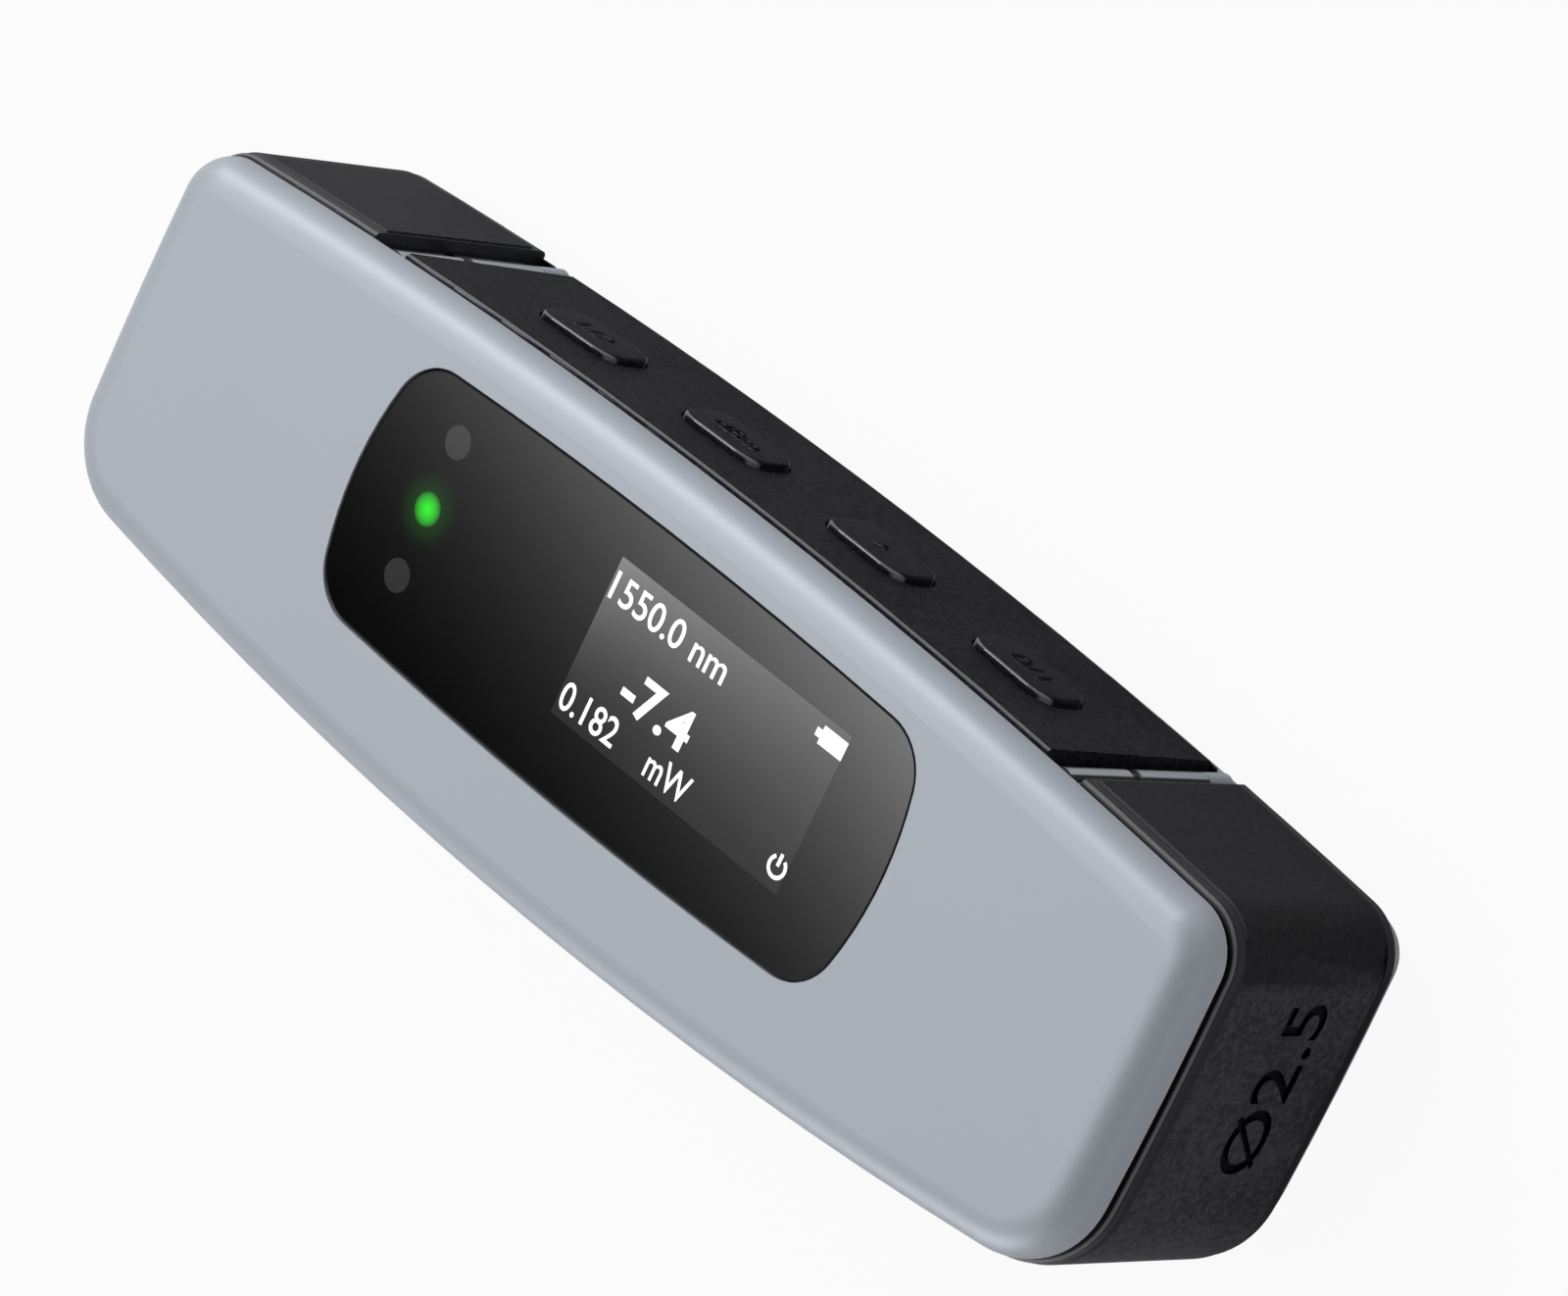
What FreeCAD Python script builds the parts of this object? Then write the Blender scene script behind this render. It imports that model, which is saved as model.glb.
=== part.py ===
import FreeCAD
import Part
import math
import os

# Pocket optical power meter, lying on its back with the display up.
# X runs along the case to the measuring-port end, Y towards the key side, Z out of the display.
# The origin is under the middle of the case, on the flat back face. Millimetres.

os.makedirs("parts", exist_ok=True)
V = FreeCAD.Vector

# Case outline, seen from the front
CASE_LENGTH = 98.6
CASE_HEIGHT = 30.8
CASE_DEPTH = 22.7
KEY_EDGE_BOW = 2.35
LOWER_EDGE_BOW = 3.6
END_BOW = 0.3
KEY_CORNER_RADIUS = 3.6
LOWER_CORNER_RADIUS = 6.9

# Front and back shells
SHELL_DEPTH = 2.7
EDGE_RADIUS = 2.5
SHELL_WALL = 1.8
FRONT_WALL = 2.0
BACK_WALL = 1.6
BACK_SET_IN = 0.55

# Window
WINDOW_LENGTH = 50.9
WINDOW_HEIGHT = 19.2
WINDOW_X = 0.65
WINDOW_Y = 2.27
WINDOW_LONG_BOW = 0.67
WINDOW_END_BOW = 1.7
WINDOW_CORNER_RADIUS = 4.0
WINDOW_GAP = 0.1
LENS_THICKNESS = 0.9
LENS_SET_BACK = 0.1
GASKET_THICKNESS = 0.2
WINDOW_LEDGE = 1.2

# Frame between the shells: every line is a distance in from the case outline
FLANGE_THICKNESS = 0.25
FRAME_RECESS = 0.35
FRAME_WALL = 1.4
COVER_SEAT = 2.6
PANEL_SEAT = 1.2
TONGUE_WALL = 1.2
TONGUE_GAP = 0.1

# Key panel
HINGE_OPENING = 3.1
SKIN_PROUD = 0.3
PANEL_DRAFT = 0.4
PANEL_EDGE_RADIUS = 0.4
PANEL_SIDE_GAP = 0.03

# Keys
KEY_COUNT = 4
KEY_PITCH = 13.9
KEY_GROUP_X = 1.2
KEY_BELOW_FRONT = 10.2
KEY_LENGTH = 7.4
KEY_WIDTH = 4.8
KEY_CORNER = 1.7
KEY_PROUD = 0.85
KEY_CROWN_RADIUS = 0.3
KEY_GAP = 0.2
KEY_FLANGE_RIM = 0.75
KEY_FLANGE_THICKNESS = 0.6
KEY_FLANGE_GAP = 0.1
KEY_TRAVEL = 0.4
TRAVEL_RESERVE = 0.15
STEM_RADIUS = 1.0
STEM_REACH = 3.1
POCKET_GAP = 0.3

# Tact switches and their board
SWITCH_SIZE = 4.5
SWITCH_HEIGHT = 1.6
SWITCH_CORNER = 0.4
PLUNGER_RADIUS = 1.2
PLUNGER_LENGTH = 1.3
PLUNGER_FIT = 0.05
PLUNGER_HOLE = 1.3
KEY_BOARD_THICKNESS = 0.8
KEY_BOARD_MARGIN = 1.4
KEY_BOARD_FOOT_GAP = 1.25
KEY_BOARD_HEAD_GAP = 0.75

# End covers
COVER_LENGTH = 15.4
COVER_LOWER_LENGTH = 6.5
COVER_SHELL_IN = 0.7
COVER_SHELL_WALL = 1.3
COVER_SIDE_GAP = 0.1
COVER_RIM = 1.1
COVER_EDGE_RADIUS = 0.45
PAD_PROUD = 0.12
PAD_END_MARGIN = 0.3
PAD_EDGE_BEVEL = 0.2
BELT_GAP = 0.4
SEAL_THICKNESS = 0.45
SEAL_CORNER = 2.5
SEAL_DEPTH = 11.4
SEAL_MARGIN = 1.0

# Barrel hinges of the covers
HINGE_FROM_COVER = 1.8
HINGE_IN = 1.05
BARREL_RADIUS = 0.85
ARM_REACH = 0.6
PIN_RADIUS = 0.4
PIN_FIT = 0.04
LUG_HEIGHT = 0.6
LUG_GAP = 0.1
BACK_LUG_HEIGHT = 2.1
BACK_LUG_GAP = 0.05
CENTRE_LUG_HEIGHT = 0.7
CENTRE_LUG_RADIUS = 0.62
ARM_THICKNESS = 1.1

# Measuring port
METER_PORT_Y = 0.0
METER_COLLAR_RADIUS = 5.0
METER_COLLAR_LENGTH = 5.5
METER_ADAPTER_RADIUS = 3.0
METER_ADAPTER_LENGTH = 8.2
FERRULE_BORE_RADIUS = 1.26
PORT_SET_IN = 0.1
HOLDER_RADIUS = 4.4
HOLDER_LENGTH = 7.0
DETECTOR_RADIUS = 2.35
DETECTOR_LENGTH = 3.4
DETECTOR_BASE_RADIUS = 2.7
DETECTOR_BASE = 0.5
LEAD_RADIUS = 0.23
LEAD_LENGTH = 3.0
LEAD_CIRCLE = 1.27
PORT_FIT = 0.04

# Fault-finder light port
LASER_PORT_Y = 5.5
LASER_COLLAR_RADIUS = 3.6
LASER_COLLAR_LENGTH = 3.0
LASER_BARREL_RADIUS = 2.8
LASER_BARREL_LENGTH = 15.5
LASER_SLEEVE_RADIUS = 1.65
LASER_SLEEVE_LENGTH = 8.0
LASER_CAN_RADIUS = 1.9
LASER_CAN_LENGTH = 2.4

# Charging socket
USB_Y = -3.2
USB_WIDTH = 8.94
USB_HEIGHT = 3.26
USB_LENGTH = 7.35
USB_WALL = 0.3
USB_TONGUE_WIDTH = 6.7
USB_TONGUE_THICKNESS = 0.7
USB_SLOT_GAP = 0.2
USB_SET_IN = 0.6
USB_TONGUE_SET_IN = 0.9

# Boards
BOARD_THICKNESS = 1.0
BOARD_END_INSET = 18.8
BOARD_KEY_GAP = 0.05
BOARD_LOWER_INSET = 4.1
BOARD_OVER_CELL = 0.7
BOARD_EDGE_GAP = 0.2
BOARD_CUT_GAP = 0.6
CHIP_SIZE = 7.0
CHIP_HEIGHT = 0.9
CHIP_X = 8.5
CHIP_Y = -1.0
AMPLIFIER_SIZE = 4.0
AMPLIFIER_X = 25.0
LINK_LENGTH = 7.62
LINK_X = -11.0
LINK_HEIGHT = 2.5
LINK_WIDTH = 2.2
BATTERY_SOCKET_LENGTH = 6.0
BATTERY_SOCKET_WIDTH = 4.5
BATTERY_SOCKET_HEIGHT = 3.0
BATTERY_SOCKET_X = -21.5
BATTERY_SOCKET_Y = -8.5

# Battery
BATTERY_LENGTH = 44.0
BATTERY_WIDTH = 17.0
BATTERY_THICKNESS = 5.2
BATTERY_EDGE_RADIUS = 2.0
BATTERY_Y = -0.5
BATTERY_PAD = 0.5

# Display: the lit field of a 0.96 inch module sets its scale
LIT_FROM_WINDOW_X = 7.95
LIT_FROM_WINDOW_Y = 0.84
LIT_HEIGHT = 10.86
GLASS_LENGTH = 26.7
GLASS_WIDTH = 19.26
GLASS_THICKNESS = 1.45
GLASS_TOP_MARGIN = 2.1
GLASS_FRONT_GAP = 0.25
CARRIER_RIM = 0.6
CARRIER_THICKNESS = 1.2
CARRIER_LEG_WIDTH = 1.8
CARRIER_LEG_INSET = 1.8
FLEX_WIDTH = 12.0
FLEX_THICKNESS = 0.15
FLEX_BEND = 0.7
FLEX_TAIL = 0.6

# Status lights
LIGHTS_FROM_WINDOW_X = -18.7
LIGHTS_FROM_WINDOW_Y = 0.6
LIGHT_PITCH = 4.84
LIGHT_COUNT = 3
PIPE_RADIUS = 1.0
PIPE_LENS_GAP = 0.15
LAMP_LENGTH = 1.6
LAMP_WIDTH = 0.8
LAMP_HEIGHT = 0.6
LAMP_GAP = 0.15
BRIDGE_OVER_BOARD = 3.0
BRIDGE_THICKNESS = 1.4
BRIDGE_WIDTH = 2.6
BRIDGE_LEG_WIDTH = 1.4

# Screws through the back shell and the main board
SCREW_END_INSET = 21.3
SCREW_KEY_INSET = 7.4
SCREW_LOWER_INSET = 6.6
SCREW_RADIUS = 0.95
SCREW_LENGTH = 12.0
SCREW_HEAD_RADIUS = 1.75
SCREW_HEAD_HEIGHT = 1.1
SCREW_RECESS = 0.5
BOSS_RADIUS = 2.2
BOSS_HOLE_GAP = 0.05
BOARD_HOLE_GAP = 0.25

# Heights and places worked out from the sizes above
HALF_LENGTH = CASE_LENGTH / 2
HALF_HEIGHT = CASE_HEIGHT / 2
FRONT_SPLIT = CASE_DEPTH - SHELL_DEPTH
BAND_BOTTOM = SHELL_DEPTH + FLANGE_THICKNESS
BAND_TOP = FRONT_SPLIT - FLANGE_THICKNESS
BAND_MIDDLE = (BAND_BOTTOM + BAND_TOP) / 2
BACK_LUG_TOP = BAND_BOTTOM + BACK_LUG_HEIGHT
HINGE_MIDDLE = (BACK_LUG_TOP + BAND_TOP) / 2
FRONT_INSIDE = CASE_DEPTH - FRONT_WALL
COVER_BOTTOM = BAND_BOTTOM + COVER_SIDE_GAP
COVER_TOP = BAND_TOP - COVER_SIDE_GAP
BOARD_Z = BACK_WALL + BATTERY_PAD + BATTERY_THICKNESS + BOARD_OVER_CELL
BOARD_TOP = BOARD_Z + BOARD_THICKNESS
BOARD_HALF_LENGTH = HALF_LENGTH - BOARD_END_INSET
BOARD_LOWER_EDGE = BOARD_LOWER_INSET - HALF_HEIGHT
BRIDGE_Z = BOARD_TOP + BRIDGE_OVER_BOARD
PORT_Z = BAND_MIDDLE
KEY_Z = CASE_DEPTH - KEY_BELOW_FRONT
PLUNGER_STAND = KEY_TRAVEL + TRAVEL_RESERVE
PLUNGER_HOLE_DEPTH = max(PLUNGER_HOLE, PLUNGER_LENGTH - PLUNGER_STAND + KEY_TRAVEL + TRAVEL_RESERVE)
COVER_START = HALF_LENGTH - COVER_LENGTH
COVER_FREE_EDGE = HALF_LENGTH - COVER_LOWER_LENGTH
PANEL_HALF_LENGTH = COVER_START - HINGE_OPENING
HINGE_X = COVER_START - HINGE_FROM_COVER
LENS_TOP = CASE_DEPTH - LENS_SET_BACK
LENS_BOTTOM = LENS_TOP - LENS_THICKNESS
LEDGE_TOP = LENS_BOTTOM - GASKET_THICKNESS
GLASS_TOP = FRONT_INSIDE - GLASS_FRONT_GAP
GLASS_BOTTOM = GLASS_TOP - GLASS_THICKNESS
WALL_FACE_X = HALF_LENGTH - COVER_SEAT
LIT_X = WINDOW_X + LIT_FROM_WINDOW_X
LIT_Y = WINDOW_Y + LIT_FROM_WINDOW_Y
LIGHT_X = WINDOW_X + LIGHTS_FROM_WINDOW_X
LIGHT_Y = WINDOW_Y + LIGHTS_FROM_WINDOW_Y
SCREW_X = HALF_LENGTH - SCREW_END_INSET
SCREW_KEY_Y = HALF_HEIGHT - SCREW_KEY_INSET
SCREW_LOWER_Y = SCREW_LOWER_INSET - HALF_HEIGHT
PORT_FACE_X = WALL_FACE_X - PORT_SET_IN
KEY_XS = [KEY_GROUP_X + KEY_PITCH * (i - (KEY_COUNT - 1) / 2) for i in range(KEY_COUNT)]
LIGHT_YS = [LIGHT_Y + LIGHT_PITCH * (i - (LIGHT_COUNT - 1) / 2) for i in range(LIGHT_COUNT)]
SCREW_PLACES = [(x, y) for x in (-SCREW_X, SCREW_X) for y in (SCREW_LOWER_Y, SCREW_KEY_Y)]
FAR = CASE_LENGTH


def block(x0, x1, y0, y1, z0, z1):
    """A box between two opposite corners."""
    return Part.makeBox(x1 - x0, y1 - y0, z1 - z0, V(x0, y0, z0))


def rod(radius, x, y, z0, z1):
    """An upright round rod."""
    return Part.makeCylinder(radius, z1 - z0, V(x, y, z0))


def end_rod(radius, x0, x1, y, z):
    """A round rod along X."""
    return Part.makeCylinder(radius, x1 - x0, V(x0, y, z), V(1, 0, 0))


def edges_along(shape, axis, keep=None):
    """Straight edges of a shape that run along one axis, where keep(middle point) allows them."""
    found = []
    for edge in shape.Edges:
        if edge.Curve.TypeId != "Part::GeomLine":
            continue
        if abs(abs(edge.tangentAt(edge.FirstParameter).dot(axis)) - 1) > 1e-6:
            continue
        if keep is None or keep(edge.CenterOfMass):
            found.append(edge)
    return found


def edges_at_height(shape, z, keep=None):
    """Edges that lie flat at one height, where keep(edge) allows them."""
    flat = [e for e in shape.Edges if abs(e.BoundBox.ZMin - z) < 1e-5 and abs(e.BoundBox.ZMax - z) < 1e-5]
    return [e for e in flat if keep is None or keep(e)]


def rounded_block(x0, x1, y0, y1, z0, z1, radius, axis):
    """A box with the four edges along one axis rounded."""
    box = block(x0, x1, y0, y1, z0, z1)
    return box.makeFillet(radius, edges_along(box, axis))


def circle_meeting(centre_a, radius_a, centre_b, radius_b, near):
    """The point where two circles meet, the one nearer to a given point."""
    span = centre_b - centre_a
    along = (span.Length ** 2 + radius_a ** 2 - radius_b ** 2) / (2 * span.Length)
    across = math.sqrt(max(radius_a ** 2 - along ** 2, 0.0))
    unit = V(span).normalize()
    foot = centre_a + unit * along
    side = V(-unit.y, unit.x, 0) * across
    return min((foot + side, foot - side), key=lambda p: (p - near).Length)


def circle_through(chord_end, crown):
    """Centre and radius of an arc with its crown in the middle of a chord along X or Y."""
    rise = chord_end - crown
    if abs(crown.x) < 1e-9:
        half_chord, bow, inward = abs(rise.x), abs(rise.y), V(0, -math.copysign(1, crown.y), 0)
    else:
        half_chord, bow, inward = abs(rise.y), abs(rise.x), V(-math.copysign(1, crown.x), 0, 0)
    radius = (half_chord ** 2 + bow ** 2) / (2 * bow)
    return crown + inward * radius, radius


def bowed_wire(half_x, half_y, top_bow, bottom_bow, end_bow, top_radius, bottom_radius, inset=0.0):
    """Outline of four shallow arcs with rounded corners, in the XY plane, moved in by inset."""
    x = half_x - end_bow
    top, bottom = half_y - top_bow, bottom_bow - half_y
    middle = (top + bottom) / 2
    corners = [V(x, top, 0), V(x, bottom, 0), V(-x, bottom, 0), V(-x, top, 0)]
    crowns = [V(half_x, middle, 0), V(0, -half_y, 0), V(-half_x, middle, 0), V(0, half_y, 0)]
    radii = [top_radius, bottom_radius, bottom_radius, top_radius]
    sides = [circle_through(corner, crown) for corner, crown in zip(corners, crowns)]
    turns = []
    for i, corner in enumerate(corners):
        (before, r_before), (after, r_after) = sides[i - 1], sides[i]
        radius = radii[i]
        if radius - inset < 0.02:
            point = circle_meeting(before, r_before - inset, after, r_after - inset, corner)
            turns.append((point, None, point))
            continue
        centre = circle_meeting(before, r_before - radius, after, r_after - radius, corner)
        way_in = (centre - before).normalize()
        way_out = (centre - after).normalize()
        bisector = (way_in + way_out).normalize()
        reach = radius - inset
        turns.append((centre + way_in * reach, centre + bisector * reach, centre + way_out * reach))
    edges = []
    for i, (first, crest, last) in enumerate(turns):
        if crest is not None:
            edges.append(Part.Arc(first, crest, last).toShape())
        centre, radius = sides[i]
        crown = centre + (crowns[i] - centre).normalize() * (radius - inset)
        edges.append(Part.Arc(last, crown, turns[(i + 1) % 4][0]).toShape())
    return Part.Wire(edges)


KEY_EDGE_HALF_CHORD = HALF_LENGTH - END_BOW
KEY_EDGE_ARC_RADIUS = (KEY_EDGE_HALF_CHORD ** 2 + KEY_EDGE_BOW ** 2) / (2 * KEY_EDGE_BOW)


def key_edge_y(x, inset=0.0):
    """Height of the key-side outline at a place along the case."""
    centre = HALF_HEIGHT - KEY_EDGE_ARC_RADIUS
    return centre + math.sqrt((KEY_EDGE_ARC_RADIUS - inset) ** 2 - x * x)


HINGE_Y = key_edge_y(HINGE_X, HINGE_IN)


def line(inset):
    """The case outline moved in by a distance, or out where it is negative."""
    return bowed_wire(
        HALF_LENGTH,
        HALF_HEIGHT,
        KEY_EDGE_BOW,
        LOWER_EDGE_BOW,
        END_BOW,
        KEY_CORNER_RADIUS,
        LOWER_CORNER_RADIUS,
        inset,
    )


def slab(inset, z0, z1):
    """The case outline, moved in and raised into a solid between two heights."""
    solid = Part.Face(line(inset)).extrude(V(0, 0, z1 - z0))
    solid.translate(V(0, 0, z0))
    return solid


def band(outer_inset, inner_inset, z0, z1):
    """A wall that follows the case outline."""
    return slab(outer_inset, z0, z1).cut(slab(inner_inset, z0, z1))


def window_prism(grow, z0, z1):
    """The window outline, grown by a distance, between two heights."""
    wire = bowed_wire(
        WINDOW_LENGTH / 2,
        WINDOW_HEIGHT / 2,
        WINDOW_LONG_BOW,
        WINDOW_LONG_BOW,
        WINDOW_END_BOW,
        WINDOW_CORNER_RADIUS,
        WINDOW_CORNER_RADIUS,
        -grow,
    )
    solid = Part.Face(wire).extrude(V(0, 0, z1 - z0))
    solid.translate(V(WINDOW_X, WINDOW_Y, z0))
    return solid


def other_end(shape):
    """The same shape at the other end of the case."""
    return shape.mirror(V(0, 0, 0), V(1, 0, 0))


def fuse(*shapes):
    """One solid from several that meet."""
    joined = shapes[0].fuse(list(shapes[1:]))
    return joined.removeSplitter()


def save(name, shape):
    """Write one named piece."""
    shape.exportStep("parts/%s.step" % name)


# Shells


def shell_tray(face_z, split_z, wall_z, set_in=0.0):
    """Rounded tray, closed at face_z, open at split_z, with its inside floor at wall_z."""
    low, high = min(face_z, split_z), max(face_z, split_z)
    tray = slab(set_in, low, high)
    tray = tray.makeFillet(EDGE_RADIUS, edges_at_height(tray, face_z))
    inside = slab(SHELL_WALL, min(split_z, wall_z), max(split_z, wall_z))
    return tray.cut(inside)


def front_shell():
    """Front tray with the stepped window recess and four long screw bosses."""
    shell = shell_tray(CASE_DEPTH, FRONT_SPLIT, FRONT_INSIDE)
    shell = shell.cut(window_prism(WINDOW_GAP, LEDGE_TOP, CASE_DEPTH))
    shell = shell.cut(window_prism(-WINDOW_LEDGE, FRONT_INSIDE, CASE_DEPTH))
    bosses = [rod(BOSS_RADIUS, x, y, BOARD_TOP, FRONT_INSIDE) for x, y in SCREW_PLACES]
    shell = fuse(shell, *bosses)
    for x, y in SCREW_PLACES:
        tip = SCREW_RECESS + SCREW_HEAD_HEIGHT + SCREW_LENGTH
        shell = shell.cut(rod(SCREW_RADIUS, x, y, BOARD_TOP, tip + 1.0))
    return shell


def back_lug(x):
    """Post on the back shell's rim that holds the lower end of a hinge pin."""
    foot = block(x - BARREL_RADIUS, x + BARREL_RADIUS, HINGE_Y - BARREL_RADIUS, HINGE_Y, SHELL_DEPTH, BACK_LUG_TOP)
    return rod(BARREL_RADIUS, x, HINGE_Y, SHELL_DEPTH, BACK_LUG_TOP).fuse(foot).removeSplitter()


def back_shell():
    """Back tray with four bosses under the board, open to the screw heads, and a lug for each hinge pin."""
    shell = shell_tray(0, SHELL_DEPTH, BACK_WALL, BACK_SET_IN)
    bosses = [rod(BOSS_RADIUS, x, y, BACK_WALL, BOARD_Z) for x, y in SCREW_PLACES]
    shell = fuse(shell, *bosses, back_lug(-HINGE_X), back_lug(HINGE_X))
    for x in (-HINGE_X, HINGE_X):
        shell = shell.cut(rod(PIN_RADIUS + PIN_FIT, x, HINGE_Y, SHELL_DEPTH, BACK_LUG_TOP))
    for x, y in SCREW_PLACES:
        shell = shell.cut(rod(SCREW_HEAD_RADIUS + BOSS_HOLE_GAP, x, y, 0, SCREW_RECESS + SCREW_HEAD_HEIGHT))
        shell = shell.cut(rod(SCREW_RADIUS + BOSS_HOLE_GAP, x, y, 0, BOARD_Z))
    return shell


def case_screws():
    """Four screws with round heads, as one group."""
    screws = []
    head_top = SCREW_RECESS
    for x, y in SCREW_PLACES:
        head = rod(SCREW_HEAD_RADIUS, x, y, head_top, head_top + SCREW_HEAD_HEIGHT)
        shank = rod(SCREW_RADIUS, x, y, head_top + SCREW_HEAD_HEIGHT, head_top + SCREW_HEAD_HEIGHT + SCREW_LENGTH)
        screws.append(head.fuse(shank).removeSplitter())
    return Part.makeCompound(screws)


def window_lens():
    """Flat window set just under the front face."""
    lens = window_prism(0, LENS_BOTTOM, LENS_TOP)
    return lens.makeChamfer(0.15, edges_at_height(lens, LENS_TOP))


def window_gasket():
    """Adhesive ring between the window and its ledge."""
    ring = window_prism(0, LEDGE_TOP, LENS_BOTTOM)
    return ring.cut(window_prism(-WINDOW_LEDGE, LEDGE_TOP, LENS_BOTTOM))


# Frame


def frame_part(inset, half_x, key_side, z0, z1):
    """A stretch of the case outline on one long side."""
    y0, y1 = (0, FAR) if key_side else (-FAR, 0)
    return slab(inset, z0, z1).common(block(-half_x, half_x, y0, y1, z0, z1))


def frame_body(growth, z0, z1):
    """The frame's section, filled: end and corner walls, the belt below and the key-panel seat."""
    belt_half = COVER_FREE_EDGE - BELT_GAP
    walls = slab(COVER_SEAT + growth, z0, z1)
    belt = frame_part(FRAME_RECESS + growth, belt_half - growth, False, z0, z1)
    seat = frame_part(PANEL_SEAT + growth, PANEL_HALF_LENGTH - growth, True, z0, z1)
    return fuse(walls, belt, seat)


def frame_tongues():
    """Thin lips that locate the two shells."""
    line_in = SHELL_WALL + TONGUE_GAP
    front = band(line_in, line_in + TONGUE_WALL, FRONT_SPLIT, FRONT_INSIDE - TONGUE_GAP)
    back = band(line_in, line_in + TONGUE_WALL, BACK_WALL + TONGUE_GAP, SHELL_DEPTH)
    return front, back


def frame_lugs(side):
    """The fixed knuckles of one barrel hinge, standing on the frame's wall."""
    x = side * HINGE_X
    foot_y = HINGE_Y - COVER_SEAT
    levels = [
        (BARREL_RADIUS, BAND_TOP - LUG_HEIGHT, BAND_TOP + FLANGE_THICKNESS / 2),
        (CENTRE_LUG_RADIUS, HINGE_MIDDLE - CENTRE_LUG_HEIGHT / 2, HINGE_MIDDLE + CENTRE_LUG_HEIGHT / 2),
    ]
    lugs = []
    for radius, z0, z1 in levels:
        web = block(x - radius, x + radius, foot_y, HINGE_Y, z0, z1)
        lugs.append(rod(radius, x, HINGE_Y, z0, z1).fuse(web).removeSplitter())
    return lugs


def key_window(x):
    """Opening in the frame that a key's flange travels in."""
    half_x = KEY_LENGTH / 2 + KEY_FLANGE_RIM + POCKET_GAP
    half_z = KEY_WIDTH / 2 + KEY_FLANGE_RIM + POCKET_GAP
    return rounded_block(
        x - half_x,
        x + half_x,
        key_edge_y(x) - PANEL_SEAT - FRAME_WALL - 1.0,
        key_edge_y(x) + 1.0,
        KEY_Z - half_z,
        KEY_Z + half_z,
        KEY_CORNER + KEY_FLANGE_RIM + POCKET_GAP,
        V(0, 1, 0),
    )


def mid_frame():
    """Black frame between the shells: wall, two thin flanges, hinge lugs, key and port openings."""
    wall = frame_body(0, BAND_BOTTOM, BAND_TOP)
    flange_low = slab(FRAME_RECESS, SHELL_DEPTH, BAND_BOTTOM)
    flange_high = slab(FRAME_RECESS, BAND_TOP, FRONT_SPLIT)
    frame = fuse(wall, flange_low, flange_high)
    frame = frame.cut(frame_body(FRAME_WALL, SHELL_DEPTH, FRONT_SPLIT))
    frame = fuse(frame, *frame_tongues(), *frame_lugs(-1), *frame_lugs(1))
    for x in KEY_XS:
        frame = frame.cut(key_window(x))
    for side in (-1, 1):
        bore_from, bore_to = SHELL_DEPTH, FRONT_SPLIT
        frame = frame.cut(rod(PIN_RADIUS + PIN_FIT, side * HINGE_X, HINGE_Y, bore_from, bore_to))
        reach = BARREL_RADIUS + BACK_LUG_GAP
        x, y = side * HINGE_X, HINGE_Y
        frame = frame.cut(block(x - reach, x + reach, y - reach, y + reach, bore_from, BACK_LUG_TOP))
    wall_from = WALL_FACE_X - FRAME_WALL - 1.0
    frame = frame.cut(end_rod(METER_COLLAR_RADIUS + PORT_FIT, wall_from, HALF_LENGTH, METER_PORT_Y, PORT_Z))
    frame = frame.cut(end_rod(LASER_COLLAR_RADIUS + PORT_FIT, -HALF_LENGTH, -wall_from, LASER_PORT_Y, PORT_Z))
    slot = rounded_block(
        -HALF_LENGTH,
        -wall_from,
        USB_Y - USB_WIDTH / 2 - USB_SLOT_GAP,
        USB_Y + USB_WIDTH / 2 + USB_SLOT_GAP,
        BOARD_TOP - USB_SLOT_GAP,
        BOARD_TOP + USB_HEIGHT + USB_SLOT_GAP,
        USB_HEIGHT / 2,
        V(1, 0, 0),
    )
    return frame.cut(slot)


# Key panel and keys


def key_prism(x, grow, y0, y1):
    """Rounded key section, extruded across the key side."""
    half_x = KEY_LENGTH / 2 + grow
    half_z = KEY_WIDTH / 2 + grow
    return rounded_block(
        x - half_x, x + half_x, y0, y1, KEY_Z - half_z, KEY_Z + half_z, KEY_CORNER + grow, V(0, 1, 0)
    )


def key_side_cone(z0, z1):
    """Solid whose key side follows the outline, full at z1 and lower by the draft at z0."""
    radius = KEY_EDGE_ARC_RADIUS + SKIN_PROUD
    return Part.makeCone(radius - PANEL_DRAFT, radius, z1 - z0, V(0, HALF_HEIGHT - KEY_EDGE_ARC_RADIUS, z0))


def key_panel():
    """Soft strip on the frame's key side, drafted towards the back, with an opening for each key."""
    z0, z1 = BAND_BOTTOM + PANEL_SIDE_GAP, BAND_TOP - PANEL_SIDE_GAP
    strip = band(-SKIN_PROUD - 1.0, PANEL_SEAT, z0, z1).common(key_side_cone(z0, z1))
    strip = strip.common(block(-PANEL_HALF_LENGTH, PANEL_HALF_LENGTH, 0, FAR, z0, z1))
    rim = [e for e in strip.Edges if is_outer_rim(e, z0, z1)]
    strip = strip.makeFillet(PANEL_EDGE_RADIUS, rim)
    for x in KEY_XS:
        y = key_edge_y(x)
        strip = strip.cut(key_prism(x, KEY_GAP, y - PANEL_SEAT - 1.0, y + 2.0))
    return strip


def is_outer_rim(edge, z0, z1):
    """True for the long outer edges of a band that follows the key side."""
    box = edge.BoundBox
    flat = box.ZLength < 1e-5 and (abs(box.ZMin - z0) < 1e-5 or abs(box.ZMin - z1) < 1e-5)
    if not flat or box.XLength < 1.0:
        return False
    middle = edge.valueAt((edge.FirstParameter + edge.LastParameter) / 2)
    return middle.y > key_edge_y(min(abs(middle.x), KEY_EDGE_HALF_CHORD)) - PANEL_SEAT / 2


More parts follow.
